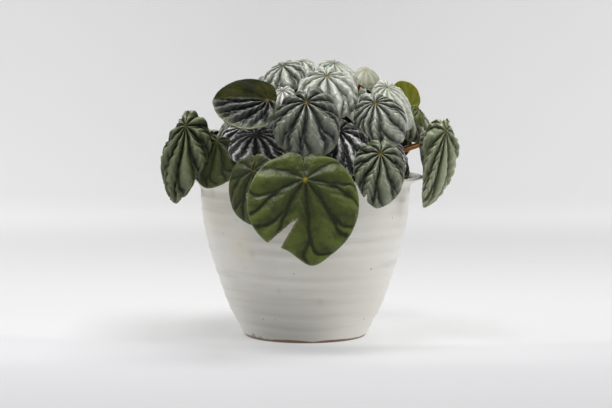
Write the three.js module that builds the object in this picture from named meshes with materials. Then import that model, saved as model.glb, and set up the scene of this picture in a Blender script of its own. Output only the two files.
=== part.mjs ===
// A ripple peperomia growing in a glazed flower pot.
//
// Millimetres, +Z up. The origin is the centre of the pot's flat base, on the surface it stands on.
// -Y is the plant's front: the side over which the largest leaf hangs.
//
// The pieces, from the table up: the pot, the soil that fills it, the crown (the short stem that all
// the leaf stalks grow from), and for each leaf a stalk and a blade.
import * as THREE from "three";

// ---------------------------------------------------------------- driving dimensions

const POT_HEIGHT = 89.2;
const POT_BASE_RADIUS = 33.5;
const LIP_RADIUS = 65; // the turned-out lip, the widest part of the pot
const WALL = 4;
const FLOOR_THICKNESS = 6;

const SOIL_TOP = 74;
const SOIL_CLEARANCE = 0.4; // between the soil and the pot's wall

const CROWN_RADIUS = 12;

const BLADE_THICKNESS = 1.3;
const STALK_RADIUS = 1.25;
const SEAT_GAP = 0.3; // between a stalk's ends and what it is joined to

// ---------------------------------------------------------------- small helpers

const radians = (degrees) => (degrees * Math.PI) / 180;
const vector = (x, y, z) => new THREE.Vector3(x, y, z);

function named(name, geometry, material) {
  const mesh = new THREE.Mesh(geometry, material);
  mesh.name = name;
  return mesh;
}

// A solid turned about +Z from [radius, height] points.
function turned(profile, segments) {
  const points = profile.map(([radius, height]) => new THREE.Vector2(radius, height));
  return new THREE.LatheGeometry(points, segments).rotateX(Math.PI / 2);
}

// ---------------------------------------------------------------- materials

const material = (color, roughness) => new THREE.MeshStandardMaterial({ color, roughness, metalness: 0 });

const GLAZE = material(0xe4e2dc, 0.25);
const SOIL = material(0x2d231c, 0.95);
const STEM = material(0x8a4a2a, 0.5);
const SILVER_GREEN = material(0x6f7f6c, 0.4);
const PLAIN_GREEN = material(0x44582c, 0.4);

// ---------------------------------------------------------------- pot and soil

const POT_SEGMENTS = 48;

// The outside of the wall, from the foot up to where the lip turns out.
const OUTER_WALL = [
  [POT_BASE_RADIUS, 0],
  [35.4, 3],
  [37.8, 8],
  [41.2, 14],
  [44.4, 21.5],
  [48.2, 33],
  [51.6, 43],
  [54.6, 54],
  [56.8, 66],
  [57.8, 78],
  [58.2, 83],
];

function potGeometry() {
  const lip = [
    [60.4, 85.6],
    [LIP_RADIUS - 1.4, 87.2],
    [LIP_RADIUS, 87.8],
    [LIP_RADIUS, 88.6],
    [LIP_RADIUS - 1, POT_HEIGHT],
    [LIP_RADIUS - 3.4, POT_HEIGHT - 0.3],
    [57.4, 86.6],
  ];
  const innerWall = OUTER_WALL.filter(([, height]) => height > FLOOR_THICKNESS + WALL)
    .map(([radius, height]) => [radius - WALL, height])
    .reverse();
  const floor = [
    [POT_BASE_RADIUS - 1.5, FLOOR_THICKNESS],
    [0, FLOOR_THICKNESS],
  ];
  return turned([[0, 0], ...OUTER_WALL, ...lip, ...innerWall, ...floor], POT_SEGMENTS);
}

function soilGeometry() {
  const wall = OUTER_WALL.filter(([, height]) => height > FLOOR_THICKNESS + WALL && height < SOIL_TOP).map(
    ([radius, height]) => [radius - WALL - SOIL_CLEARANCE, height],
  );
  const edge = wall.at(-1)[0] + 0.7;
  const profile = [
    [0, FLOOR_THICKNESS],
    [POT_BASE_RADIUS - 2, FLOOR_THICKNESS],
    ...wall,
    [edge, SOIL_TOP - 1.5],
    [CROWN_RADIUS + 8, SOIL_TOP],
    [0, SOIL_TOP],
  ];
  return turned(profile, POT_SEGMENTS);
}

// The crown is a dome that stands on the soil.
function crownGeometry() {
  const arc = [0, 15, 30, 45, 60, 75].map(radians);
  const profile = arc.map((a) => [CROWN_RADIUS * Math.cos(a), SOIL_TOP + CROWN_RADIUS * Math.sin(a)]);
  return turned([[0, SOIL_TOP], ...profile, [0, SOIL_TOP + CROWN_RADIUS]], 24);
}

// ---------------------------------------------------------------- leaves

// Every leaf, outer ones first.
//   at      where the stalk joins the blade, on the upper face
//   faces   where the upper face looks: [azimuth, elevation]; azimuth 0 is the front, 90 is +X
//   roll    how far the tip is turned from straight down the slope, towards the viewer's right
//   length  from the stalk's joint to the tip
//   bend    how far the tip is bent to the right, as a share of the length
//   turn    how far the blade curls down between joint and edge: towards tip, left, right, back
//   lift    how steeply the blade first rises around the joint, before it curls down
//   wide    how wide the blade is, against the usual outline: left, right
//   stalk   how the stalk leaves the crown, [turned round from straight under the joint, rise], and
//           whether it comes in to the blade from above (1) or from below (-1)
const LEAVES = [
  {
    name: "front_torn", at: [0, -77, 92], faces: [0, 12], roll: 4, length: 46,
    wide: [1.1, 0.99], turn: [16, 2, 14, 25], lift: 4, stalk: [0, 24, 0.3], plain: true,
  },
  {
    name: "lower_left_long", at: [-27, -67, 96], faces: [-30, 10], roll: 7, length: 29,
    wide: [0.93, 0.93], turn: [12, 20, 20, 25], lift: 5, stalk: [0, 20, 0.2], plain: true,
  },
  {
    name: "lower_left_small", at: [-47, -42, 110], faces: [-32, 12], roll: -8, length: 26,
    wide: [0.92, 1.05], turn: [6, 20, 15, 25], lift: 5, stalk: [6, 20, 0], plain: true,
  },
  {
    name: "left_trailing", at: [-63.3, -46, 118.1], faces: [-8, 8], roll: -5, bend: -0.05, length: 42,
    wide: [0.61, 0.6], turn: [30, 75, 65, 100], lift: 8, stalk: [-16, 26, -0.3],
  },
  {
    name: "lower_right", at: [39.2, -64, 104.4], faces: [6, 14], roll: -6, length: 30,
    wide: [0.92, 0.88], turn: [35, 60, 65, 80], lift: 14, stalk: [2, 15, 0.1],
  },
  {
    name: "right_trailing", at: [75.5, -34, 115], faces: [6, -6], roll: -6, bend: -0.14, length: 44,
    wide: [0.39, 0.45], turn: [10, 70, 70, 110], lift: 2, stalk: [2, 38, -0.5],
  },
  {
    name: "upper_front", at: [0.5, -62, 131], faces: [-4, 25], roll: 2, length: 31,
    wide: [1.04, 1.04], turn: [50, 65, 65, 60], lift: 20, stalk: [2, 42, 0],
  },
  {
    name: "left_folded", at: [-19.8, -52, 132], faces: [-12, 28], roll: -92, length: 32,
    wide: [0.92, 0.92], turn: [20, 50, -25, 70], lift: 8, stalk: [0, 44, 0],
  },
  {
    name: "left_dark", at: [-26, -53, 114], faces: [-5, 28], roll: 0, length: 19,
    wide: [1.38, 1.55], turn: [30, 50, 50, 40], lift: 12, stalk: [-9, 32, 0],
  },
  {
    name: "right_centre", at: [37, -49.5, 130.2], faces: [-8, 28], roll: 20, length: 23.5,
    wide: [1.17, 1.17], turn: [52, 75, 45, 60], lift: 18, stalk: [0, 46, 0],
  },
  {
    name: "right_silver", at: [44, -28, 138], faces: [25, 40], roll: 5, length: 22,
    wide: [0.88, 0.88], turn: [45, 60, 60, 60], lift: 15, stalk: [0, 52, 0],
  },
  {
    name: "middle_dark", at: [18, -45, 115.5], faces: [8, 35], roll: 6, length: 28,
    wide: [1, 1], turn: [30, 45, 45, 50], lift: 12, stalk: [-6, 34, 0],
  },
  {
    name: "low_right_dark", at: [46, -36, 108], faces: [40, 20], roll: 0, length: 20,
    wide: [0.9, 0.9], turn: [30, 40, 40, 40], lift: 12, stalk: [2, 20, 0],
  },
  {
    name: "top_centre", at: [11.5, -34, 144], faces: [5, 50], roll: 0, length: 31,
    wide: [1, 1], turn: [55, 65, 65, 60], lift: 18, stalk: [0, 66, 0],
  },
  {
    name: "top_left", at: [-12, -12, 149.3], faces: [-35, 50], roll: 20, length: 22,
    wide: [1.1, 1.1], turn: [50, 60, 60, 60], lift: 15, stalk: [-15, 70, 0],
  },
  {
    name: "top_left_back", at: [-2, 10, 151.5], faces: [-25, 66], roll: 0, length: 20,
    wide: [0.9, 0.9], turn: [50, 60, 60, 60], lift: 15, stalk: [0, 72, 0],
  },
  {
    name: "top_back", at: [16, 4, 150.5], faces: [32, 58], roll: 0, length: 24,
    wide: [0.98, 0.95], turn: [50, 60, 60, 60], lift: 15, stalk: [13, 76, 0],
  },
  {
    name: "small_top_right", at: [33, -20, 147.5], faces: [20, 45], roll: 0, length: 12.5,
    wide: [1, 1], turn: [50, 60, 60, 60], lift: 15, stalk: [-8, 66, 0],
  },
  {
    name: "right_upright", at: [58, 4, 128], faces: [150, 10], roll: 160, length: 15,
    wide: [1.05, 1.05], turn: [30, 30, 30, 20], lift: 8, stalk: [4, 50, 0], plain: true,
  },
  {
    name: "right_back", at: [58, -8, 124], faces: [30, 30], roll: 8, length: 17,
    wide: [1.15, 1.15], turn: [45, 60, 60, 60], lift: 15, stalk: [4, 26, 0],
  },
  {
    name: "left_back", at: [-37, 4, 122], faces: [-66, 42], roll: 0, length: 24,
    wide: [1, 1], turn: [45, 60, 60, 60], lift: 15, stalk: [-2, 48, 0],
  },
  {
    name: "left_side", at: [-65, 17, 105], faces: [-103, 14], roll: 0, length: 31,
    wide: [1, 1], turn: [30, 45, 45, 50], lift: 12, stalk: [2, 14, 0],
  },
  {
    name: "right_side", at: [73, 17, 107], faces: [97, 10], roll: 0, length: 31,
    wide: [1, 1], turn: [30, 45, 45, 50], lift: 12, stalk: [0, 30, 0],
  },
  {
    name: "back_left", at: [-43, 52, 105], faces: [-139, 22], roll: 0, length: 37,
    wide: [1, 1], turn: [35, 45, 45, 50], lift: 12, stalk: [0, 16, 0],
  },
  {
    name: "back_middle", at: [-2, 70, 100], faces: [180, 18], roll: 0, length: 43,
    wide: [1, 1], turn: [30, 40, 40, 40], lift: 10, stalk: [0, 24, 0.2],
  },
  {
    name: "back_right", at: [39, 56, 102], faces: [148, 20], roll: 0, length: 36,
    wide: [1, 1], turn: [35, 45, 45, 50], lift: 12, stalk: [2, 14, 0],
  },
  {
    name: "back_upper_left", at: [-24, 29, 138], faces: [-144, 51], roll: 0, length: 36,
    wide: [1.05, 1.05], turn: [40, 55, 55, 50], lift: 15, stalk: [0, 55, 0],
  },
  {
    name: "back_upper_right", at: [25, 30, 139], faces: [145, 52], roll: 0, length: 36,
    wide: [1.05, 1.05], turn: [40, 55, 55, 50], lift: 15, stalk: [0, 57, 0],
  },
];

// The directions in which a blade lies: out of its upper face, towards its tip, and to the right.
function bladeDirections({ faces: [azimuth, elevation], roll }) {
  const a = radians(azimuth);
  const e = radians(elevation);
  const normal = vector(Math.sin(a) * Math.cos(e), -Math.cos(a) * Math.cos(e), Math.sin(e));
  const down = vector(Math.sin(a) * Math.sin(e), -Math.cos(a) * Math.sin(e), -Math.cos(e));
  const level = new THREE.Vector3().crossVectors(normal, down);
  const tip = down.clone().multiplyScalar(Math.cos(radians(roll))).addScaledVector(level, Math.sin(radians(roll)));
  const right = new THREE.Vector3().crossVectors(normal, tip);
  return { normal, tip, right };
}

// The heart-shaped outline: the distance from the joint to the edge, as a share of the blade's
// length. The angle runs from 0 at the tip to 180 degrees at the notch between the two lobes.
const NOTCH_WIDTH = radians(9);
function outline(angle) {
  const a = Math.abs(angle);
  const heart = 0.58 + 0.315 * Math.cos(a) + 0.065 * Math.cos(2 * a) + 0.03 * Math.exp(-a / 0.12);
  const notch = 0.62 * Math.exp(-(((Math.PI - a) / NOTCH_WIDTH) ** 2));
  return heart * (1 - notch);
}

// Spokes run from the joint to the edge, closest together at the tip and around the notch.
const HALF_SPOKES = [0, 16, 34, 54, 75, 97, 119, 139, 156, 169, 180];
const SPOKES = [...HALF_SPOKES, ...HALF_SPOKES.slice(1, -1).map((angle) => -angle).reverse()].map(radians);
const RINGS = 4;

// How far the blade turns down between the joint and its edge, in the direction of one spoke.
function turnAlong(angle, [tip, left, right, back]) {
  const c = Math.cos(angle);
  const s = Math.sin(angle);
  return radians((c > 0 ? tip : back) * c * c + (s > 0 ? right : left) * s * s);
}

// A point of the blade: share is 0 at the joint and 1 at the edge, depth is under the upper face.
// Each spoke is an arc of a circle, so that a curled blade keeps the length of a flat one.
function bladePoint(leaf, directions, angle, share, depth) {
  const { normal, tip, right } = directions;
  const along = Math.cos(angle);
  const across = leaf.wide[angle > 0 ? 1 : 0] * Math.sin(angle);
  const stretch = Math.hypot(along, across);
  const reach = leaf.length * outline(angle) * stretch;
  const lift = radians(leaf.lift);
  const turn = turnAlong(angle, leaf.turn);
  const slope = turn * share - lift;
  const out = (reach * (Math.sin(slope) + Math.sin(lift))) / turn - depth * Math.sin(slope);
  const up = (reach * (Math.cos(slope) - Math.cos(lift))) / turn - depth * Math.cos(slope);
  const forward = (out * along) / stretch;
  const sideways = (out * across) / stretch + ((leaf.bend ?? 0) * Math.max(forward, 0) ** 2) / leaf.length;
  return vector(...leaf.at)
    .addScaledVector(tip, forward)
    .addScaledVector(right, sideways)
    .addScaledVector(normal, up);
}

// A closed blade: an upper and a lower fan of rings that meet in a sharp edge.
function bladeGeometry(leaf) {
  const directions = bladeDirections(leaf);
  const depthAt = (share) => BLADE_THICKNESS * (1 - share ** 4);
  const ring = (share, lower) =>
    SPOKES.map((angle) => bladePoint(leaf, directions, angle, share, lower ? depthAt(share) : 0));
  const shares = Array.from({ length: RINGS }, (_, k) => (k + 1) / RINGS);
  const upper = shares.map((share) => ring(share, false));
  const lower = shares.slice(0, -1).map((share) => ring(share, true));
  lower.push(upper.at(-1));

  const positions = [];
  const triangle = (a, b, c) => positions.push(...a, ...b, ...c);
  const face = (rings, hub, flip) => {
    const put = flip ? (a, b, c) => triangle(a, c, b) : triangle;
    const n = SPOKES.length;
    for (let j = 0; j < n; j++) {
      const next = (j + 1) % n;
      put(hub, rings[0][j], rings[0][next]);
      for (let k = 0; k + 1 < rings.length; k++) {
        put(rings[k][j], rings[k + 1][next], rings[k][next]);
        put(rings[k][j], rings[k + 1][j], rings[k + 1][next]);
      }
    }
  };
  face(upper, bladePoint(leaf, directions, 0, 0, 0), false);
  face(lower, bladePoint(leaf, directions, 0, 0, depthAt(0)), true);
  return new THREE.BufferGeometry().setAttribute("position", new THREE.Float32BufferAttribute(positions, 3));
}

// The stalk's route: out of the crown, then up and into the blade from below and behind.
function stalkRoute(leaf) {
  const { normal } = bladeDirections(leaf);
  const joint = vector(...leaf.at);
  const around = Math.atan2(joint.y, joint.x) + radians(leaf.stalk[0]);
  const rise = radians(leaf.stalk[1]);
  const outward = vector(Math.cos(around) * Math.cos(rise), Math.sin(around) * Math.cos(rise), Math.sin(rise));
  const start = vector(0, 0, SOIL_TOP).addScaledVector(outward, CROWN_RADIUS + SEAT_GAP);
  const approach = normal.clone().negate().add(vector(0, 0, leaf.stalk[2])).normalize();
  const clearance = SEAT_GAP + STALK_RADIUS * Math.sin(approach.angleTo(normal));
  const end = joint.clone().addScaledVector(normal, -(BLADE_THICKNESS + clearance));
  const span = start.distanceTo(end);
  return new THREE.CubicBezierCurve3(
    start,
    start.clone().addScaledVector(outward, span * 0.4),
    end.clone().addScaledVector(approach, span * 0.35),
    end,
  );
}

function stalkGeometry(leaf) {
  const sides = 6;
  const section = new THREE.Shape();
  for (let k = 0; k <= sides; k++) {
    const a = (2 * Math.PI * k) / sides;
    const move = k ? "lineTo" : "moveTo";
    section[move](STALK_RADIUS * Math.cos(a), STALK_RADIUS * Math.sin(a));
  }
  return new THREE.ExtrudeGeometry(section, { steps: 8, extrudePath: stalkRoute(leaf) });
}

// ---------------------------------------------------------------- the plant in its pot

const plant = new THREE.Group();
plant.add(named("pot", potGeometry(), GLAZE));
plant.add(named("soil", soilGeometry(), SOIL));
plant.add(named("crown", crownGeometry(), STEM));
for (const leaf of LEAVES) {
  plant.add(named(`blade_${leaf.name}`, bladeGeometry(leaf), leaf.plain ? PLAIN_GREEN : SILVER_GREEN));
  plant.add(named(`stalk_${leaf.name}`, stalkGeometry(leaf), STEM));
}

export default plant;
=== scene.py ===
# %% [markdown]
# # A ripple peperomia in its pot
#
# A ripple peperomia is a small houseplant. Heart-shaped leaves stand on red stalks that all grow
# from one short crown. Between its veins each leaf swells into long ridges, silvery on top, and the
# veins lie in dark furrows between them.
#
# This lesson builds the plant over a measured frame: one plain closed blade and one plain tube for
# each leaf, a pot, the soil and the crown. The frame gives every size and place. What is made here
# is everything that a plain solid leaves out: the ripples, the torn edge, the glaze, the soil.

# %% Load the frame
import math

import bmesh
import bpy
import numpy as np
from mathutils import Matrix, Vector


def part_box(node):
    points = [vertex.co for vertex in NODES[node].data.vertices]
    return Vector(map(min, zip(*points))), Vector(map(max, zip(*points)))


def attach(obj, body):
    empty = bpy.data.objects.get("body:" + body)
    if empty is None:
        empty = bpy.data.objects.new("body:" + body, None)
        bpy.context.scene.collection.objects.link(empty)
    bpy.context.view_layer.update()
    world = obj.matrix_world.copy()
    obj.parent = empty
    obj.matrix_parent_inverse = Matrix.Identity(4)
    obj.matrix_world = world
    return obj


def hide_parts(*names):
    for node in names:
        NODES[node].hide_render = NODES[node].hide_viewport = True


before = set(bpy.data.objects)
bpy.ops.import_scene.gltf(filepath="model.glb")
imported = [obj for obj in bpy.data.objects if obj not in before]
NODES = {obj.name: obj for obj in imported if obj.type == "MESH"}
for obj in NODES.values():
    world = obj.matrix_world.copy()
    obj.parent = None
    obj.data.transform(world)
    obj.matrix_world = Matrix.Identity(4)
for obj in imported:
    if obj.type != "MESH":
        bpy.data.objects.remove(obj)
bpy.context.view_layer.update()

MM = 0.001
LEAF_NAMES = sorted(name[len("blade_"):] for name in NODES if name.startswith("blade_"))
print(len(NODES), "solids in the frame,", len(LEAF_NAMES), "leaves")

# %% [markdown]
# ## The camera
#
# A long lens from about a metre away keeps the pot's sides nearly parallel. The camera stands a
# little above the plant and looks slightly down, so that the lip shows as a thin ellipse. The two
# numbers that matter most, height and tilt, are set first; everything else is judged through them.

# %% The camera
CAMERA_PLACE = (0.4 * MM, -995 * MM, 156 * MM)
CAMERA_TILT = math.radians(4.77)  # below level
LENS_MM = 105.35

camera = bpy.data.objects.new("camera", bpy.data.cameras.new("camera"))
camera.data.lens = LENS_MM
camera.data.sensor_width = 36
camera.location = CAMERA_PLACE
camera.rotation_euler = (math.pi / 2 - CAMERA_TILT, 0, 0)
bpy.context.scene.collection.objects.link(camera)
bpy.context.scene.camera = camera
print("camera", CAMERA_PLACE, "lens", LENS_MM, "mm")

# %% [markdown]
# ## Small helpers for nodes
#
# Every finish below is a node tree, and the same few nodes return in all of them: noise, a product,
# a soft step from 0 to 1, a blend of two colours, a ramp of several. Each gets a short helper here.
# Wherever a helper takes a value, it takes another node's output as well and links it.


# %% Helpers for nodes
def fill(tree, socket, value):
    """Writes a fixed value into a socket, or links another node's output to it."""
    if isinstance(value, bpy.types.NodeSocket):
        tree.links.new(value, socket)
    else:
        socket.default_value = value


def fill_all(tree, node, values):
    for name, value in values.items():
        fill(tree, node.inputs[name], value)


def add_node(tree, kind, inputs=None, **settings):
    node = tree.nodes.new("ShaderNode" + kind)
    for name, value in settings.items():
        setattr(node, name, value)
    fill_all(tree, node, inputs or {})
    return node


def arithmetic(tree, operation, *values):
    node = add_node(tree, "Math", operation=operation)
    for socket, value in zip(node.inputs, values):
        fill(tree, socket, value)
    return node.outputs[0]


def times(tree, a, b):
    return arithmetic(tree, "MULTIPLY", a, b)


def plus(tree, a, b):
    return arithmetic(tree, "ADD", a, b)


def soft_step(tree, value, start, end):
    """0 at the start and before it, 1 at the end and beyond, with a smooth change between them."""
    span = {"Value": value, "From Min": start, "From Max": end}
    return add_node(tree, "MapRange", span, interpolation_type="SMOOTHSTEP").outputs["Result"]


def even_step(tree, value, start, end, low=0.0, high=1.0):
    """Low at the start and before it, high at the end and beyond, changing evenly between them."""
    span = {"Value": value, "From Min": start, "From Max": end, "To Min": low, "To Max": high}
    return add_node(tree, "MapRange", span).outputs["Result"]


def noise(tree, place, scale, detail):
    """Cloudy noise round a value of 0.5."""
    return add_node(tree, "TexNoise", {"Vector": place, "Scale": scale, "Detail": detail}).outputs["Fac"]


print("helpers for node trees in Blender", bpy.app.version_string)


# %% Helpers for colours
def colour(red, green, blue):
    return (red, green, blue, 1.0)


def grey(level):
    return colour(level, level, level)


def blend(tree, factor, first, second):
    """The first colour where the factor is 0, the second where it is 1."""
    node = add_node(tree, "Mix", {"Factor": factor}, data_type="RGBA")
    fill(tree, node.inputs[6], first)
    fill(tree, node.inputs[7], second)
    return node.outputs[2]


def colour_ramp(tree, value, stops):
    """A ramp of two or more colours, given as {place from 0 to 1: colour} in rising order."""
    ramp = add_node(tree, "ValToRGB", {"Fac": value})
    elements = ramp.color_ramp.elements
    (first, first_colour), *between, (last, last_colour) = stops.items()
    elements[0].position = first
    elements[0].color = first_colour
    elements[1].position = last
    elements[1].color = last_colour
    for place, middle_colour in between:
        elements.new(place).color = middle_colour
    return ramp.outputs["Color"]


print("a middle grey is", grey(0.5))


# %% Helpers for materials
def new_group(name, inputs, outputs):
    """An empty node group with named sockets: its tree, its input node and its output node."""
    tree = bpy.data.node_groups.new(name, "ShaderNodeTree")
    for side, sockets in (("INPUT", inputs), ("OUTPUT", outputs)):
        for label, kind in sockets.items():
            tree.interface.new_socket(label, in_out=side, socket_type="NodeSocket" + kind)
    return tree, tree.nodes.new("NodeGroupInput"), tree.nodes.new("NodeGroupOutput")


def use_group(tree, group, inputs):
    node = tree.nodes.new("ShaderNodeGroup")
    node.node_tree = group
    fill_all(tree, node, inputs)
    return node


def new_material(name):
    """A material with only an output and a Principled shader: the material, its tree, the shader."""
    material = bpy.data.materials.new(name)
    material.use_nodes = True
    tree = material.node_tree
    tree.nodes.clear()
    skin = tree.nodes.new("ShaderNodeBsdfPrincipled")
    output = tree.nodes.new("ShaderNodeOutputMaterial")
    tree.links.new(skin.outputs["BSDF"], output.inputs["Surface"])
    return material, tree, skin


def add_bump(tree, skin, height, strength, distance):
    """Lets a height roughen the shader's surface, up to the given distance."""
    bump = add_node(tree, "Bump", {"Height": height, "Strength": strength, "Distance": distance})
    tree.links.new(bump.outputs["Normal"], skin.inputs["Normal"])


print("materials that came with the frame:", len(bpy.data.materials))

# %% [markdown]
# ## The studio
#
# A sheet of white paper lies under the pot and sweeps up behind it, so there is no horizon. It is
# one strip of mesh: a flat floor, a quarter circle and a wall.

# %% The paper
# Places along Y and heights in metres; the row on the floor behind the pot keeps its shading flat
PAPER_FRONT = -1.6
FLOOR_ROW = 0.6
SWEEP_START = 900 * MM
SWEEP_RADIUS = 500 * MM
SWEEP_POINTS = 24
PAPER_TOP = 2.5
STUDIO_HALF_WIDTH = 5


def swept_sheet(name, profile):
    """A sheet that keeps one outline, given as (y, z) points, all the way across the studio."""
    vertices = [(side * STUDIO_HALF_WIDTH, y, z) for y, z in profile for side in (-1, 1)]
    faces = [(2 * k, 2 * k + 1, 2 * k + 3, 2 * k + 2) for k in range(len(profile) - 1)]
    mesh = bpy.data.meshes.new(name)
    mesh.from_pydata(vertices, [], faces)
    mesh.shade_smooth()
    sheet = bpy.data.objects.new(name, mesh)
    bpy.context.scene.collection.objects.link(sheet)
    return sheet


sweep = [
    (SWEEP_START + SWEEP_RADIUS * math.sin(a), SWEEP_RADIUS * (1 - math.cos(a)))
    for a in np.linspace(0, math.pi / 2, SWEEP_POINTS)
]
floor = [(PAPER_FRONT, 0), (FLOOR_ROW, 0)]
paper = swept_sheet("paper", [*floor, *sweep, (SWEEP_START + SWEEP_RADIUS, PAPER_TOP)])
print("paper from", -PAPER_FRONT, "m in front of the pot to", SWEEP_START + SWEEP_RADIUS, "m behind it")

# %% [markdown]
# ## The paper's finish
#
# The white is a little uneven. Round the pot, where the paper lies flat, it is painted grey, which
# together with its glow evens out light and shadow there. A fold crosses it just in front of the pot:
# a faint bent line, and before it the paper is painted darker towards the front as shade. The line is
# a parabola in X near the pot and straight further out, written with Math nodes.
#
# Near the pot the paper also glows: painted light that fills in most of the shadow round the foot,
# more so on the right.

# %% The paper's fold and greys
# Near the pot the fold lies at y = FOLD_PLACE + FOLD_SLANT * x + FOLD_BEND * x * x, in metres
FOLD_PLACE = -46 * MM
FOLD_SLANT = -0.0606
FOLD_BEND = 0.844
FOLD_HALF_LENGTH = 0.22
WHITE_PAPER = (grey(0.74), grey(0.72))
# The floor is painted grey round the pot and painted darker before the fold, as shade
PAINTED_FLOOR_GREY = grey(0.29)
FRONT_PAINTED_SHADE = (colour(0.19, 0.19, 0.20), colour(0.29, 0.29, 0.30))  # far in front, close to it


def behind_fold(tree, x, y):
    """A mask: 0 before the fold, 1 behind it."""
    limits = {"Value": x, "Min": -FOLD_HALF_LENGTH, "Max": FOLD_HALF_LENGTH}
    near_x = add_node(tree, "Clamp", limits).outputs["Result"]
    slope = arithmetic(tree, "MULTIPLY_ADD", near_x, FOLD_BEND, FOLD_SLANT)
    fold = arithmetic(tree, "MULTIPLY_ADD", near_x, slope, FOLD_PLACE)
    return soft_step(tree, arithmetic(tree, "SUBTRACT", y, fold), -6 * MM, 16 * MM)


def paper_greys_and_shade(tree, place, y, behind):
    """White far back, painted grey round the pot, and darker before the fold as painted shade."""
    uneven = blend(tree, noise(tree, place, 9.0, 3.0), *WHITE_PAPER)
    floor_to_wall = blend(tree, soft_step(tree, y, 0.1, 0.8), PAINTED_FLOOR_GREY, uneven)
    front_shade = blend(tree, even_step(tree, y, -0.24, -0.06), *FRONT_PAINTED_SHADE)
    return blend(tree, behind, front_shade, floor_to_wall)


print("the fold lies", round(-FOLD_PLACE / MM), "mm in front of the pot's axis")

# %% The paper's glow
# Painted light: how strongly the paper glows at some places along X (mm) beside the pot, behind the
# fold and before it, to fill in the shadow round the foot; further back and further to the front the
# glow is even, and far back it rises out to the sides
GLOW_BEHIND = {-140: 0.49, -85: 0.31, -35: 0.39, 45: 0.61, 75: 0.57, 110: 0.47, 160: 0.46}
GLOW_BEFORE = {-140: 0.44, -85: 0.36, -45: 0.28, 0: 0.39, 45: 0.48, 110: 0.45, 160: 0.41}
GLOW_FAR_BACK = 0.46
GLOW_IN_FRONT = 0.40
GLOW_BESIDE = 0.1  # on the wall and the paper far back, out to the sides
GLOW_REACH = 200 * MM


def glow_levels(tree, across, levels):
    """The glow along X as a colour ramp; across runs from 0 to 1 over the reach of the glow."""
    stops = {0.5 + x * MM / GLOW_REACH / 2: grey(level) for x, level in levels.items()}
    first, *_, last = stops.values()
    return colour_ramp(tree, across, {0: first, **stops, 1: last})


# Painted light: the paper's glow, which fills in the shadow round the foot
def painted_paper_glow(tree, x, y, behind):
    across = even_step(tree, x, -GLOW_REACH, GLOW_REACH)

    def even_beyond(levels, start, end, even):
        """The glow along X, fading to an even level between two places along Y."""
        return blend(tree, soft_step(tree, y, start, end), glow_levels(tree, across, levels), grey(even))

    before = even_beyond(GLOW_BEFORE, -75 * MM, -125 * MM, GLOW_IN_FRONT)
    after = even_beyond(GLOW_BEHIND, 20 * MM, 130 * MM, GLOW_FAR_BACK)
    near_pot = blend(tree, behind, before, after)
    far_back = even_step(tree, arithmetic(tree, "ABSOLUTE", x), 0.05, 0.4, high=GLOW_BESIDE)
    return blend(tree, soft_step(tree, y, 0.1, 0.6), near_pot, far_back)


def paper_finish():
    material, tree, skin = new_material("white_paper")
    place = add_node(tree, "TexCoord").outputs["Object"]
    apart = add_node(tree, "SeparateXYZ", {"Vector": place}).outputs
    behind = behind_fold(tree, apart["X"], apart["Y"])
    looks = {
        "Base Color": paper_greys_and_shade(tree, place, apart["Y"], behind),
        "Emission Color": painted_paper_glow(tree, apart["X"], apart["Y"], behind),
        "Emission Strength": 1.0,
        "Roughness": 0.85,
        "Specular IOR Level": 0.2,
    }
    fill_all(tree, skin, looks)
    print("paper finish with", len(tree.nodes), "nodes")
    return material


paper.data.materials.append(paper_finish())

# %% [markdown]
# ## The light
#
# Soft boxes are Area lights: the larger the light, the softer the shadow edge. A very wide one hangs
# overhead like a skylight, and a smaller one nearly above the plant gives the ribs a lit side and a
# shaded side. A low one on each side brightens the pot's flanks. No light stands in front, so the
# pot's front stays softly shaded.

# %% The light
def soft_box(name, place, target, size, watts):
    """A square light, its place and size in metres, turned towards its target."""
    light = bpy.data.lights.new(name, "AREA")
    light.shape = "SQUARE"
    light.size = size
    light.energy = watts
    box = bpy.data.objects.new(name, light)
    box.location = place
    box.rotation_euler = (Vector(target) - Vector(place)).to_track_quat("-Z", "Y").to_euler()
    bpy.context.scene.collection.objects.link(box)
    return box


PLANT_MIDDLE = (0, 0, 0.1)
BEHIND_POT = (0, 0.2, 0)
soft_box("key_light", (-0.15, -0.3, 1.05), PLANT_MIDDLE, 0.4, 8)
soft_box("sky_light", (0, 0.5, 1.7), BEHIND_POT, 2.4, 21)
soft_box("back_left_light", (-0.9, 0.4, 0.6), PLANT_MIDDLE, 0.5, 2.4)
soft_box("right_light", (1.1, -0.1, 0.4), PLANT_MIDDLE, 0.6, 4)

world = bpy.data.worlds.new("studio")
world.use_nodes = True
background = world.node_tree.nodes["Background"]
background.inputs["Color"].default_value = grey(1.0)
background.inputs["Strength"].default_value = 0.2
bpy.context.scene.world = world
bpy.context.scene.view_settings.view_transform = "Standard"

# %% [markdown]
# ## Reading a blade from the frame
#
# A plain blade is a heart: a hub where the stalk joins, twenty spokes running out to the edge, and
# four rings across them, on the upper and the lower face. Nothing in the file says which vertex is
# which, but the shape does. The two vertices with a neighbour on every spoke are the hubs. Counting
# steps from the upper hub gives each vertex its ring, and going round by angle gives it its spoke.


# %% Points, neighbours and steps
def welded(node):
    """A solid's distinct points and its triangles."""
    mesh = NODES[node].data
    places = np.array([v.co for v in mesh.vertices], float)
    points, index = np.unique(np.round(places, 6), axis=0, return_inverse=True)
    index = index.ravel()
    return points, [[index[v] for v in face.vertices] for face in mesh.polygons]


def neighbours_of(points, faces):
    near = [set() for _ in points]
    for face in faces:
        for a in face:
            near[a].update(b for b in face if b != a)
    return near


def steps_from(start, near):
    """How many edges lead from the start vertices to each vertex."""
    steps = dict.fromkeys(start, 0)
    front = list(start)
    while front:
        following = []
        for a in front:
            for b in near[a]:
                if b not in steps:
                    steps[b] = steps[a] + 1
                    following.append(b)
        front = following
    return steps


blade_points, blade_faces = welded("blade_front_torn")
print("a plain blade has", len(blade_points), "points and", len(blade_faces), "triangles")

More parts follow.
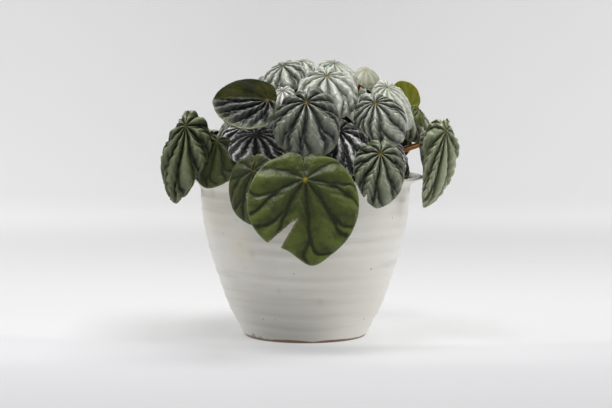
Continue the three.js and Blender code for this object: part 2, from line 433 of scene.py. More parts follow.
# %% Reading a blade
HALF_SPOKES = [0, 16, 34, 54, 75, 97, 119, 139, 156, 169, 180]
SPOKES = np.radians(HALF_SPOKES + [-a for a in HALF_SPOKES[-2:0:-1]]) % (2 * math.pi)
TIP_TO_NOTCH = len(HALF_SPOKES) - 1
RINGS = 4


def unit(vector):
    return vector / np.linalg.norm(vector)


def blade_rings(name):
    """The points of the blade's upper face as an array [ring, spoke, xyz], ring 0 being the hub."""
    points, faces = welded("blade_" + name)
    stalk, _ = welded("stalk_" + name)
    near = neighbours_of(points, faces)
    hubs = sorted(range(len(points)), key=lambda i: -len(near[i]))[:2]
    top, bottom = sorted(hubs, key=lambda i: -np.linalg.norm(stalk - points[i], axis=1).min())
    steps = steps_from([top], near)
    hub = points[top]

    inner = points[[i for i, k in steps.items() if k == 1]]
    out = np.linalg.svd(inner - inner.mean(0))[2][2]
    out *= np.sign(out @ (hub - points[bottom]))
    across = unit(np.cross(out, inner[0] - hub))
    ahead = np.cross(across, out)

    rings = [np.repeat(hub[None], len(SPOKES), axis=0)]
    for k in range(1, RINGS + 1):
        ring = points[[i for i, step in steps.items() if step == k]]
        angle = np.arctan2((ring - hub) @ across, (ring - hub) @ ahead)
        ring = ring[np.argsort(angle)]
        notch = np.argmin(np.linalg.norm(ring - hub, axis=1))
        rings.append(np.roll(ring, TIP_TO_NOTCH - notch, axis=0))
    return np.array(rings)


cages = {name: blade_rings(name) for name in LEAF_NAMES}
for name in ("front_torn", "upper_front"):
    reach = np.linalg.norm(cages[name][RINGS, 0] - cages[name][0, 0])
    print(name, "is", round(reach / MM, 1), "mm from joint to tip")

# %% [markdown]
# ## A smooth surface through the rings
#
# The frame's spokes are 10 to 20 degrees apart, which is far too coarse for ripples. Between them
# the surface is filled in: round the leaf with cubic curves that pass through the twenty spokes, and
# along each spoke with the one smooth polynomial through its five rings.


# %% The smooth surface
def around(rings, angle):
    """The five ring points for each angle, by cubic curves from spoke to spoke."""
    angle = angle % (2 * math.pi)
    count = len(SPOKES)
    j = np.searchsorted(SPOKES, angle, side="right") - 1
    after = (j + 1) % count
    span = (SPOKES[after] - SPOKES[j]) % (2 * math.pi)
    t = ((angle - SPOKES[j]) / span)[:, None]
    step = (np.roll(SPOKES, -1) - np.roll(SPOKES, 1)) % (2 * math.pi)
    slope = (np.roll(rings, -1, axis=1) - np.roll(rings, 1, axis=1)) / step[None, :, None]
    stretch = span[:, None]
    return (
        (2 * t**3 - 3 * t**2 + 1) * rings[:, j]
        + (t**3 - 2 * t**2 + t) * stretch * slope[:, j]
        + (3 * t**2 - 2 * t**3) * rings[:, after]
        + (t**3 - t**2) * stretch * slope[:, after]
    )


def along(rings_at, share):
    """The point at each share of the way from the hub (0) to the edge (1)."""
    knots = np.linspace(0, 1, RINGS + 1)
    place = np.zeros(rings_at.shape[1:])
    for k, knot in enumerate(knots):
        others = np.delete(knots, k)
        weight = np.prod([(share - o) / (knot - o) for o in others], axis=0)
        place += weight[:, None] * rings_at[k]
    return place


def surface(rings, angle, share):
    return along(around(rings, angle), share)


def normals_of(shape, rings, angle, share):
    """The direction out of a surface, from two short steps on it."""
    share = np.clip(share, 0.04, 1)
    round_it = shape(rings, angle + 0.01, share) - shape(rings, angle - 0.01, share)
    outwards = shape(rings, angle, share + 0.01) - shape(rings, angle, share - 0.01)
    normal = np.cross(outwards, round_it)
    return normal / np.linalg.norm(normal, axis=1)[:, None]


test = surface(cages["upper_front"], SPOKES, np.ones(len(SPOKES)))
miss = np.abs(test - cages["upper_front"][RINGS]).max()
print("largest miss at the frame's own points:", round(miss / MM, 6), "mm")

# %% [markdown]
# ## Closing the notch
#
# On the real leaf the two lobes behind the joint almost meet, with only a slit between them. The
# frame's notch is an open V. So the last part of each lobe is borrowed from the spokes before the
# notch and turned towards the slit, and only the last few degrees drop to the bottom of the notch.

# %% Closing the notch
LOBE_START = math.radians(140)
LOBE_SPAN = math.radians(16)
SHOULDER_DROP = 0.2  # how far the lobes' outline is drawn in on its way to the slit
NOTCH_DEPTH = 0.44  # how much further it is drawn in at the bottom of the slit


def turned_about(points, axis, angle):
    """Points turned about an axis through the origin, each by its own angle."""
    angle = np.asarray(angle)[..., None]
    dot = (points @ axis)[..., None]
    turned = points * np.cos(angle) + np.cross(axis, points) * np.sin(angle)
    return turned + axis * dot * (1 - np.cos(angle))


def heart(rings, angle, share):
    """The leaf's surface with the notch nearly closed."""
    hub = rings[0, 0]
    out = unit(normals_of(surface, rings, SPOKES, np.full(len(SPOKES), 0.1)).mean(0))
    angle = (angle + math.pi) % (2 * math.pi) - math.pi
    past = np.clip(np.abs(angle) - LOBE_START, 0, None)
    borrowed = np.abs(angle) - past + LOBE_SPAN * (1 - np.exp(-past / LOBE_SPAN))
    u = past / (math.pi - LOBE_START)
    drawn_in = share * (1 - SHOULDER_DROP * u**3 - NOTCH_DEPTH * u**20)

    def lobe(side):
        points = surface(rings, side * borrowed, drawn_in) - hub
        return hub + turned_about(points, out, side * (np.abs(angle) - borrowed))

    side = np.where(angle < 0, -1.0, 1.0)
    own = lobe(side)
    other = lobe(-side)
    meet = (np.clip((u - 0.8) / 0.2, 0, 1) ** 2 / 2)[:, None]
    return own * (1 - meet) + other * meet


def edge_reach(shape, rings, degrees):
    """How far from the joint the edge lies at this angle from the tip, in mm."""
    edge_point = shape(rings, np.radians([degrees]), np.ones(1))[0]
    return round(np.linalg.norm(edge_point - rings[0, 0]) / MM, 1)


print("the edge beside the upper front leaf's notch, from the joint:")
print("in the frame's V", edge_reach(surface, cages["upper_front"], 169), "mm")
print("on the closed lobe", edge_reach(heart, cages["upper_front"], 169), "mm")

# %% [markdown]
# ## Leaves with an outline of their own
#
# The frame gives every leaf the same heart. A few real ones are lopsided: one hangs with a straight
# side like a letter D, another has one side cut short towards its tip. Here the spokes of such a
# leaf are made longer or shorter before anything else is built on them.

# %% Reshaping the outline
# How much longer a leaf becomes at some angles from the tip; positive angles are on its right
RESHAPED = {
    "front_torn": {
        -119: 1.15, -75: 1.03, -34: 0.92, -16: 0.87, 0: 0.98, 25: 0.93, 54: 0.96, 119: 1.1, 156: 0.97,
    },
    "upper_front": {
        -156: 0.82, -119: 0.95, -86: 1.05, 0: 1.02, 25: 1.1, 65: 0.97, 119: 1.25, 139: 1.25,
    },
    "left_trailing": {
        -139: 0.62, -97: 0.56, -75: 0.75, -54: 0.97, 0: 1.02, 16: 0.9, 34: 0.86, 54: 1.0, 75: 1.17,
        97: 1.25, 119: 1.1, 139: 0.97, 156: 0.82,
    },
    "right_trailing": {
        -156: 0.58, -139: 0.63, -119: 0.94, -97: 1.7, -75: 1.45, -54: 1.0, -34: 0.88, 0: 1.0, 54: 1.12,
        75: 0.9, 97: 0.57, 119: 0.47, 156: 0.47,
    },
    "left_folded": {
        -156: 0.5, -119: 0.7, -97: 0.85, -54: 0.95, 0: 0.98, 34: 0.93, 54: 1.0, 75: 1.2, 97: 1.3,
        119: 1.0, 139: 0.65, 156: 0.5,
    },
    "lower_left_long": {-139: 1.05, -119: 1.15, -97: 1.15, -75: 1.07, -54: 1.0},
    "lower_left_small": {-156: 0.35, -119: 0.6, -75: 1.0, 75: 1.0, 119: 0.6, 156: 0.35},
    "lower_right": {-97: 1.02, -54: 0.85, -34: 0.84, 0: 0.98, 34: 0.97, 119: 1.1},
    "right_silver": {-54: 1, 0: 1.15, 25: 1.4, 54: 1.25, 119: 1.1},
    "right_back": {-54: 1, 0: 1.1, 34: 1.35, 75: 1.4, 119: 1.3},
    "right_centre": {
        -156: 1.5, -119: 1.4, -97: 1.15, -54: 0.88, -34: 0.85, 0: 1.12, 16: 1.17, 34: 0.98, 54: 0.84,
        75: 0.72, 97: 0.66, 119: 0.68, 139: 0.82,
    },
}


def reshaped(rings, factors):
    """The same leaf with its spokes made longer or shorter."""
    degrees = (np.degrees(SPOKES) + 180) % 360 - 180
    factor = np.interp(degrees, [-180, *factors, 180], [1, *factors.values(), 1])
    edge = rings[RINGS]
    ahead = edge - surface(rings, SPOKES, np.full(len(SPOKES), 0.95))
    made = []
    for k in range(RINGS + 1):
        share = k / RINGS * factor
        beyond = np.clip(share - 1, 0, None)[:, None] / 0.05
        made.append(surface(rings, SPOKES, np.minimum(share, 1)) + ahead * beyond)
    return np.array(made)


for name, factors in RESHAPED.items():
    cages[name] = reshaped(cages[name], factors)
print("reshaped:", ", ".join(RESHAPED))
slit = heart(cages["front_torn"], np.radians([175, -175]), np.ones(2))
slit_width = np.linalg.norm(slit[0] - slit[1])
print("slit of the front leaf:", round(slit_width / MM, 1), "mm wide near its mouth")

# %% [markdown]
# ## The veins
#
# The main veins start at the joint, spread out and then bend towards the tip. Half way to the edge
# new veins branch off them, always on the outer side, and the midrib splits in two. The leaf puffs
# up between neighbouring veins, so each branch starts a new wedge-shaped rib of its own.
#
# One side of a pattern is written down in degrees from the tip; the other side mirrors it, and every
# number is shifted a little for each leaf. A vein then is four numbers: the shares of the way from
# joint to edge where it starts and ends, and its angles at both.

# %% Vein patterns
BOW = 1.25  # how late a vein bends: 1 is an even bend, more leaves it straight near the joint
JITTER = 4  # degrees

# main: angle at the joint, at the edge; branches: parent, share where it leaves, angle at the edge;
# fork: share where the midrib splits, angle between it and each half
RIPPLED = {
    "main": [(34, 20), (72, 46), (106, 76), (142, 124)],
    "branches": [(0, 0.45, 33), (1, 0.4, 60), (2, 0.45, 98)],
    "fork": (0.5, 7),
}
FINE = {
    "main": [(30, 20), (66, 32), (93, 55), (118, 86), (147, 128)],
    "branches": [(1, 0.5, 43), (2, 0.4, 70), (3, 0.45, 106)],
    "fork": (0.52, 9),
}
SMOOTH = {
    "main": [(40, 22), (85, 53), (128, 120)],
    "branches": [(0, 0.5, 38), (1, 0.45, 80)],
    "fork": (0.62, 8),
}


def vein_pattern(pattern, seed):
    """A leaf's own veins, as (first share, last share, first angle, last angle) in radians."""
    random = np.random.default_rng(seed)

    def shifted(value, amount=JITTER):
        return value + random.uniform(-amount, amount)

    split, spread = pattern["fork"]
    split = shifted(split, 0.08)
    middle = shifted(0)
    veins = [(0, split, 0, middle)]
    veins += [(split, 1, middle, middle + spread), (split, 1, middle, middle - spread)]
    for side in (-1, 1):
        main = [(shifted(start), shifted(end)) for start, end in pattern["main"]]
        veins += [(0, 1, side * start, side * end) for start, end in main]
        for parent, share, end in pattern["branches"]:
            share = shifted(share, 0.07)
            start = main[parent][0] + (main[parent][1] - main[parent][0]) * share**BOW
            veins.append((share, 1, side * start, side * shifted(end)))
    return [(first, last, math.radians(start), math.radians(end)) for first, last, start, end in veins]


for label, pattern in (("rippled", RIPPLED), ("fine", FINE), ("smooth", SMOOTH)):
    print(len(vein_pattern(pattern, 1)), "veins on a", label, "leaf")

# %% [markdown]
# ## The ribs
#
# For any spot on the leaf it is enough to know the vein on its left and the vein on its right. The
# share of the way between them gives the rounded rib; the distance between them says how high it can
# rise. On an old smooth leaf the furrows are soft valleys; on a rippled one they are sharp. Cross
# veins cut small creases into the flanks of each rib, which leaves a row of lumps.
#
# The lumps of one rib must not jump where a branch starts beside it. So they are numbered by the
# vein on the rib's outer side, the one that a branch never replaces.

# %% Sizes of the ribs
# All in mm on a leaf of the length below, except soft and scallop, which are shares
RIBS = {
    "rippled": dict(height=4.8, width=2.0, vein=1.1, soft=0.1, lumps=4.0, lump_length=4.6, scallop=0.012),
    "fine": dict(height=3.9, width=1.9, vein=0.9, soft=0.1, lumps=3.2, lump_length=4.2, scallop=0.012),
    "smooth": dict(height=2.7, width=5.5, vein=1.1, soft=1.0, lumps=0.8, lump_length=7, scallop=0.003),
    "plain": dict(height=0.5, width=4.5, vein=1.5, soft=1.0, lumps=0.1, lump_length=6, scallop=0.003),
}
LENGTHS = ("height", "width", "vein", "lumps", "lump_length")
PLAIN_LENGTH = 36 * MM
MEANDERS = ((5, 0.07), (11, 0.035), (19, 0.023))


def scaled_ribs(kind, length, seed):
    """Ribs in step with the leaf's size, with a meander of their own."""
    ratio = (length / PLAIN_LENGTH) ** 0.7
    ribs = {key: value * ratio * MM if key in LENGTHS else value for key, value in RIBS[kind].items()}
    random = np.random.default_rng(seed)
    ribs["meander"] = [(turns, strength, random.uniform(0, 6.3)) for turns, strength in MEANDERS]
    return ribs


sample_ribs = scaled_ribs("rippled", PLAIN_LENGTH, 1)
print("cross veins every", round(sample_ribs["lump_length"] / MM, 1), "mm on a rippled leaf")


# %% The veins beside a spot
def veins_beside(bent, share, veins):
    """The angles of the next veins to the left and right of each spot, and the outer one's number."""
    left = np.full(len(bent), -math.pi - 0.1)
    right = np.full(len(bent), math.pi + 0.1)
    left_vein = np.zeros(len(bent))
    right_vein = np.zeros(len(bent))
    for number, (first, last, start, end) in enumerate(veins):
        at = start + (end - start) * np.clip((share - first) / (last - first), 0, 1) ** BOW
        there = (share >= first) & (share <= last)
        closer = there & (at <= bent) & (at > left)
        left = np.where(closer, at, left)
        left_vein = np.where(closer, number, left_vein)
        closer = there & (at > bent) & (at < right)
        right = np.where(closer, at, right)
        right_vein = np.where(closer, number, right_vein)
    outer = np.where(bent > veins[0][3], right_vein, left_vein)
    outer = np.where(outer == 2, 1, outer)  # both halves of the split midrib count as one vein
    return left, right, outer


sample_veins = vein_pattern(RIPPLED, 1)
sample_spot = np.radians([40]), np.array([0.7])
left, right, _ = np.degrees(veins_beside(*sample_spot, sample_veins))[:, 0]
print("40 degrees from the tip is between veins at", round(left), "and", round(right), "degrees")

# %% Rib heights
SLANT = 0.8  # how far a cross vein runs towards the tip on its way down the flank, in lumps


def rib_heights(angle, share, reach, veins, rib):
    """How high each spot is puffed up, its place on its rib (0 vein, 1 middle), and a mask."""
    bent = angle.copy()
    for turns, strength, start in rib["meander"]:
        bent += strength * np.sin(turns * share + 2 * angle + start) * share
    left, right, outer = veins_beside(bent, share, veins)

    # The rib's section: steep at the vein and round on top, or a soft wave on an old leaf
    place = np.clip(2 * np.minimum(bent - left, right - bent) / (right - left), 0, 1)
    round_rib = (1 - (1 - place) ** 2) ** 0.7
    soft_rib = (1 - np.cos(math.pi * place)) / 2
    profile = round_rib + (soft_rib - round_rib) * rib["soft"]
    half_width = (right - left) / 2 * reach
    tall = 1 - np.exp(-half_width / rib["width"])

    # The creases on its flanks: steeper on one side, different on every rib, none near the joint
    slant = SLANT * np.where(bent - left < right - bent, 1, 1.7)
    phase = reach / rib["lump_length"] + 0.37 * outer - slant * (1 - place)
    crease = np.abs(np.sin(math.pi * phase)) - 0.6
    flank = np.sqrt(place) * (1 - 0.75 * place**2) * (0.75 + 0.45 * np.sin(2.3 * outer))
    flank *= np.clip(reach / (9 * MM), 0, 1) ** 1.5
    height = rib["height"] * tall * profile + rib["lumps"] * crease * flank

    # The mask: 0 in the vein, which is narrower near the joint, and 1 on the crest of a broad rib
    # Dark vein, pale crest: partly the leaf's own colours, partly painted shade and painted highlight
    vein = rib["vein"] * (0.35 + 0.65 * np.clip(reach / (12 * MM), 0, 1))
    off_vein = 1 - np.exp(-((place * half_width / vein) ** 2))
    raised = off_vein * (0.35 + 0.65 * np.maximum(tall, 0.5) * place**2) + 0.3 * crease * flank
    return height, place, np.clip(raised, 0, 1)


spots = np.linspace(-1, 1, 400), np.full(400, 0.7), np.full(400, 25 * MM)
heights = rib_heights(*spots, sample_veins, sample_ribs)[0]
print("ribs from", round(heights.min() / MM, 1), "to", round(heights.max() / MM, 1), "mm high")

# %% [markdown]
# ## Cutting one flat leaf
#
# Each leaf starts as a flat round disc in mesh code: spokes and rings, with the joint in the middle.
# A torn corner or a hole is cut while the disc is still flat, because cutting along a straight line
# is simple there. Only then is the disc bent onto the smooth surface, once for the upper face and
# once for the lower one, and the two are joined round the edge.


# %% The flat disc and its cuts
def flat_disc(spokes, rings):
    """A disc of radius 1 as a bmesh, its rings a little closer together at the edge."""
    disc = bmesh.new()
    hub = disc.verts.new((0, 0, 0))
    shares = np.sin(np.linspace(0, 1, rings + 1)[1:] * 1.35) / math.sin(1.35)
    angles = np.arange(spokes) * 2 * math.pi / spokes
    grid = [[disc.verts.new((s * math.cos(a), s * math.sin(a), 0)) for a in angles] for s in shares]
    for j in range(spokes):
        following = (j + 1) % spokes
        disc.faces.new((hub, grid[0][j], grid[0][following]))
        for inner, outer in zip(grid, grid[1:]):
            disc.faces.new((inner[j], outer[j], outer[following], inner[following]))
    return disc


def spot(degrees, share):
    """A place on the disc: its angle from the tip, positive on the right as the tip hangs down."""
    return Vector((share * math.cos(math.radians(degrees)), share * math.sin(math.radians(degrees)), 0))


def cut_out(disc, corners):
    """Cuts the convex shape with these corners out of the disc; its corners run anticlockwise."""
    middle = sum(corners, Vector()) / len(corners)
    near = max((corner - middle).length for corner in corners) + 0.12
    sides = list(zip(corners, corners[1:] + corners[:1]))
    for a, b in sides:
        outwards = (b - a).cross(Vector((0, 0, 1)))
        faces = [f for f in disc.faces if (f.calc_center_median() - middle).length < near]
        edges = {e for f in faces for e in f.edges}
        corners_of = {v for f in faces for v in f.verts}
        geometry = [*corners_of, *edges, *faces]
        bmesh.ops.bisect_plane(disc, geom=geometry, dist=1e-5, plane_co=a, plane_no=outwards)
    inside = []
    for face in disc.faces:
        centre = face.calc_center_median()
        if all((centre - a).cross(b - a).z <= 0 for a, b in sides):
            inside.append(face)
    bmesh.ops.delete(disc, geom=inside, context="FACES")


TEARS = {
    "front_torn": [[spot(-14.7, 0.555), spot(-33.6, 1.094), spot(-22.1, 1.09)]],
    "lower_left_long": [[spot(-20, 0.47), spot(-20.5, 0.53), spot(-14, 0.53), spot(-14, 0.47)]],
    "lower_right": [[spot(-15, 0.86), spot(-20, 1.1), spot(-11, 1.1)]],
}
disc = flat_disc(64, 12)
whole = len(disc.faces)
cut_out(disc, TEARS["front_torn"][0])
print("a disc of", whole, "faces has", len(disc.faces), "after the tear")
disc.free()

# %% [markdown]
# ## From the flat disc to a leaf
#
# The disc's angle and share are looked up on the smooth surface, and the ribs lift it along the
# surface's own direction. The lower face follows the upper one at the thickness of a leaf, so the
# veins stand out below as they are sunk above. Masks are stored on the mesh for the finish: where
# the ribs are, how far out a spot lies, the thin pale edge, the joint, the torn rim and the half of
# a leaf that is folded over.

# %% A flat leaf
FRAY = 0.012
OUTER_EDGE = 0.985  # a point of the rim further in than this share of the way out is in a tear


def flat_leaf(spokes, ring_count, tears, random):
    """The disc after its cuts: each point's angle and share, the faces, and the edges of the rim."""
    disc = flat_disc(spokes, ring_count)
    for corners in tears:
        cut_out(disc, corners)
    disc.verts.index_update()
    flat = np.array([v.co for v in disc.verts])
    faces = [[v.index for v in f.verts] for f in disc.faces]
    rim = []
    for edge in disc.edges:
        if edge.is_boundary:
            loop = edge.link_loops[0]
            rim.append((loop.vert.index, loop.link_loop_next.vert.index))
    disc.free()

    angle = np.arctan2(flat[:, 1], flat[:, 0])
    share = np.hypot(flat[:, 0], flat[:, 1])
    for a, _ in rim:
        if share[a] < OUTER_EDGE:
            share[a] += random.uniform(-FRAY, FRAY)
    return angle, share, faces, rim


sample_leaf = flat_leaf(64, 12, TEARS["front_torn"], np.random.default_rng(1))
print("a torn flat leaf of", len(sample_leaf[0]), "points has", len(sample_leaf[3]), "on its rim")

# %% Masks and the waves of the edge
TORN_RIM = 0.5 * MM
WAVE_HEIGHT = 0.45 * MM


def add_mask(mesh, name, values):
    layer = mesh.attributes.new(name, "FLOAT", "POINT")
    layer.data.foreach_set("value", np.asarray(values, np.float32))


def edge_waves(angle, random):
    """How far the edge waves up and down, in waves of random strength."""
    wave = np.zeros(len(angle))
    for turns in (2, 3, 5, 8):
        wave += random.uniform(0.1, 0.35) * np.sin(turns * angle + random.uniform(0, 6.3))
    return wave


def torn_mask(upper, share, rim):
    """1 on the rim of a tear, fading away from it."""
    torn_rim = np.array([upper[a] for a, _ in rim if share[a] < OUTER_EDGE])
    if not len(torn_rim):
        return np.zeros(len(upper))
    gap = np.linalg.norm(upper[:, None] - torn_rim[None], axis=2).min(axis=1)
    return np.exp(-((gap / TORN_RIM) ** 2))


waves = WAVE_HEIGHT * edge_waves(np.linspace(0, 2 * math.pi, 100), np.random.default_rng(1))
print("an edge that waves from", round(waves.min() / MM, 2), "to", round(waves.max() / MM, 2), "mm")

# %% Building a leaf
LEAF_THICKNESS = 0.75 * MM
EDGE_THICKNESS = 0.35 * MM
PALE_EDGE = 0.4 * MM
JOINT_SPOT = 1.0 * MM


def leaf_mesh(name, rings, veins, rib, tears, folded, spokes, ring_count, yellow, seed):
    """A closed leaf bent onto the surface through the given rings."""
    random = np.random.default_rng(seed)
    angle, share, faces, rim = flat_leaf(spokes, ring_count, tears, random)
    hub = rings[0, 0]
    reach = np.linalg.norm(heart(rings, angle, share) - hub, axis=1)
    full_reach = np.linalg.norm(heart(rings, angle, np.ones(len(share))) - hub, axis=1)

    # The ribs die away at the edge, on the lobes of a smooth leaf and on a half that is folded over
    height, place, raised = rib_heights(angle, share, reach, veins, rib)
    height *= 1 - 0.85 * share**8
    height *= 1 - 0.6 * rib["soft"] * np.clip((np.abs(angle) - 2.2) / 0.6, 0, 1)
    far_half = folded * np.clip(0.5 - 7 * np.sin(angle) * share, 0, 1)
    height *= 1 - 0.85 * far_half

    # Nearly half of each rib lies below the smooth surface, so that the leaf keeps its place
    below = 0.45 * rib["height"] * np.clip(reach / (5 * MM), 0, 1)
    lift = height - below + WAVE_HEIGHT * edge_waves(angle, random) * share**3
    scalloped = share * (1 + rib["scallop"] * (place - 0.6) * share**6)
    normal = normals_of(heart, rings, angle, share)
    upper = heart(rings, angle, scalloped) + normal * lift[:, None]
    thickness = EDGE_THICKNESS + (LEAF_THICKNESS - EDGE_THICKNESS) * (1 - share**4)
    lower = upper - normal * thickness[:, None]

    # One closed mesh: the upper face, a strip round the rim and the lower face, turned over
    count = len(share)
    strip = [(b, a, a + count, b + count) for a, b in rim]
    under = [[i + count for i in reversed(face)] for face in faces]
    mesh = bpy.data.meshes.new(name)
    mesh.from_pydata(np.vstack([upper, lower]).tolist(), [], faces + strip + under)
    mesh.polygons.foreach_set("material_index", [0] * (len(faces) + len(strip)) + [1] * len(under))
    mesh.shade_smooth()

    in_slit = np.clip((np.abs(angle) - 2.9) / 0.2, 0, 1)
    pale_width = PALE_EDGE * (1 + 2 * in_slit + 2 * folded)
    masks = {
        "rib": raised,
        "outward": share**2,
        "edge": np.exp(-(full_reach - reach).clip(0) / pale_width),
        "joint": yellow * np.exp(-((reach / JOINT_SPOT) ** 2)),
        "torn": torn_mask(upper, share, rim),
        "far_half": far_half,
    }
    for label, values in masks.items():
        add_mask(mesh, label, np.tile(values, 2))
    return mesh


print("a leaf is", LEAF_THICKNESS / MM, "mm thick inside and", EDGE_THICKNESS / MM, "mm at its edge")


# %% [markdown]
# ## What a leaf's skin looks like
#
# One node group makes the colour of every leaf from the masks on its mesh: dark in the veins, silver
# or green on the ribs, a pale hairline along the edge, a yellow spot over the joint. The dark veins
# and pale crests are partly the leaf's own colours and partly painted shade and painted highlight.
# Cloudy noise shifts the border between vein and rib so that no two ribs match, and a finer one can
# break it up.
# A few brown specks are scattered with a cell pattern in which only the rare cells with a high
# random value get one. The group also puts out a height, with pores and small puckers in it, and the
# Bump node that turns it into relief stays in each material.


# %% The leaf skin group
SPECK_BROWN = colour(0.36, 0.16, 0.10)
TORN_BROWNS = (colour(0.50, 0.42, 0.30), colour(0.10, 0.06, 0.04))


def leaf_skin_group():
    colours = ("Vein", "Rib", "Crest", "Outer", "Edge", "Joint")
    amounts = ("Rib Start", "Crest Start", "Outer Amount", "Edge Amount", "Breakup", "Gloss")
    inputs = dict.fromkeys(colours, "Color") | dict.fromkeys(amounts, "Float")
    outputs = {"Color": "Color", "Roughness": "Float", "Height": "Float"}
    tree, source, result = new_group("leaf_skin", inputs, outputs)
    given = source.outputs

    def mask(name):
        return add_node(tree, "Attribute", attribute_name=name).outputs["Fac"]

    place = add_node(tree, "TexCoord").outputs["Object"]
    clouds = noise(tree, place, 170, 4)
    fine = noise(tree, place, 1100, 3)
    lumpy = noise(tree, place, 480, 2)

    # How far each spot is from vein to crest
    cloudy = times(tree, arithmetic(tree, "SUBTRACT", clouds, 0.5), 0.25)
    broken = times(tree, arithmetic(tree, "SUBTRACT", lumpy, 0.5), given["Breakup"])
    raised = plus(tree, mask("rib"), plus(tree, cloudy, broken))
    to_rib = soft_step(tree, raised, given["Rib Start"], plus(tree, given["Rib Start"], 0.4))
    to_crest = soft_step(tree, raised, given["Crest Start"], plus(tree, given["Crest Start"], 0.35))

    # Vein, rib and crest, changing towards the edge; then the grain, the pale edge and the joint
    # Outer: painted shade on silver leaves; on green ones partly their own green, partly painted light
    patchy = times(tree, mask("outward"), soft_step(tree, clouds, 0.25, 0.6))
    to_outer = times(tree, patchy, given["Outer Amount"])
    skin = blend(tree, to_rib, given["Vein"], blend(tree, to_outer, given["Rib"], given["Outer"]))
    skin = blend(tree, to_crest, skin, blend(tree, to_outer, given["Crest"], given["Outer"]))
    grain = soft_step(tree, fine, 0.35, 0.7)
    skin = blend(tree, times(tree, grain, 0.12), skin, given["Crest"])
    skin = blend(tree, times(tree, mask("edge"), given["Edge Amount"]), skin, given["Edge"])
    skin = blend(tree, mask("joint"), skin, given["Joint"])

    # Specks in the rare cells, and the brown of a torn rim
    cells = add_node(tree, "TexVoronoi", {"Vector": place, "Scale": 105})
    chance = add_node(tree, "SeparateColor", {"Color": cells.outputs["Color"]}).outputs["Red"]
    rare = soft_step(tree, chance, 0.955, 0.96)
    speck = times(tree, soft_step(tree, cells.outputs["Distance"], 0.13, 0.06), rare)
    skin = blend(tree, times(tree, speck, 0.7), skin, SPECK_BROWN)
    skin = blend(tree, mask("torn"), skin, blend(tree, grain, *TORN_BROWNS))
    tree.links.new(skin, result.inputs["Color"])

    dull_vein = times(tree, arithmetic(tree, "SUBTRACT", 1.0, to_rib), 0.12)
    rough = plus(tree, given["Gloss"], plus(tree, dull_vein, times(tree, grain, 0.07)))
    tree.links.new(rough, result.inputs["Roughness"])

    pores = times(tree, fine, 0.6)
    puckers = times(tree, lumpy, 2.0)
    tree.links.new(plus(tree, pores, plus(tree, puckers, clouds)), result.inputs["Height"])
    return tree


LEAF_SKIN = leaf_skin_group()
print("leaf skin group with", len(LEAF_SKIN.nodes), "nodes")


# %% [markdown]
# ## The leaf finishes
#
# The colours differ from leaf to leaf: silver in full light, nearly black deep in the plant, plain
# green on the old smooth leaves at the front. Each finish is the same group with other colours. The
# shader itself stays in the material. Thin leaves let light through, so the ones that stand against
# the light mix in a translucent shader.

# %% The finish of one leaf
JOINT_YELLOW = colour(0.42, 0.30, 0.02)
PALE_RIM = colour(0.34, 0.36, 0.22)


def shade_folded_half(tree, skin, shade, rough, tints, coat):
    """Paints the folded-over half in shade: two darker olive colours, duller and without the coat."""
    half = add_node(tree, "Attribute", attribute_name="far_half").outputs["Fac"]
    clouds = noise(tree, add_node(tree, "TexCoord").outputs["Object"], 90, 3)
    first, second = tints
    blotches = colour_ramp(tree, clouds, {0.35: colour(*first), 0.7: colour(*second)})
    fill(tree, skin.inputs["Coat Weight"], even_step(tree, half, 0.0, 1.0, coat, 0.0))
    shade = blend(tree, half, shade, blotches)
    rough = arithmetic(tree, "MULTIPLY_ADD", half, 0.3, rough)
    return shade, rough


def leaf_finish(
    name, vein, rib, crest, starts=(0.03, 0.45), outer=None, edge=0.5, rim=PALE_RIM, gloss=0.4,
    coat=0.25, specular=0.5, breakup=0.2, through=None, far_half=None,
):
    """A leaf's material.

    vein, rib and crest are its colours, and starts says how far from the vein rib and crest begin.
    outer is a colour towards the edge and its strength; edge and rim are the same for the hairline.
    gloss, coat and specular go to the shader, and breakup is how ragged the ribs' colour is.
    through is the colour and share of light let through; far_half has the painted shade of a folded half.
    """
    material, tree, skin = new_material(name)
    values = {
        "Vein": colour(*vein),
        "Rib": colour(*rib),
        "Crest": colour(*crest),
        "Outer": colour(*(outer or rib)[:3]),
        "Edge": rim,
        "Joint": JOINT_YELLOW,
        "Rib Start": starts[0],
        "Crest Start": starts[1],
        "Outer Amount": outer[3] if outer else 0.0,
        "Edge Amount": edge,
        "Breakup": breakup,
        "Gloss": gloss,
    }
    made = use_group(tree, LEAF_SKIN, values).outputs
    shade = made["Color"]
    rough = made["Roughness"]
    if far_half:
        shade, rough = shade_folded_half(tree, skin, shade, rough, far_half, coat)
    looks = {"Base Color": shade, "Roughness": rough, "Specular IOR Level": specular}
    fill_all(tree, skin, looks | {"Coat Weight": coat, "Coat Roughness": 0.3})
    add_bump(tree, skin, made["Height"], 0.6, 0.4 * MM)
    if through:
        glow = add_node(tree, "BsdfTranslucent", {"Color": colour(*through[:3])})
        both = add_node(tree, "MixShader", {"Fac": through[3]})
        tree.links.new(skin.outputs["BSDF"], both.inputs[1])
        tree.links.new(glow.outputs["BSDF"], both.inputs[2])
        tree.links.new(both.outputs["Shader"], tree.nodes["Material Output"].inputs["Surface"])
    return material


UNDERSIDE = leaf_finish(
    "leaf_underside", (0.17, 0.19, 0.08), (0.10, 0.12, 0.05), (0.13, 0.14, 0.07), gloss=0.45, coat=0
)
print("the underside's finish has", len(UNDERSIDE.node_tree.nodes), "nodes")
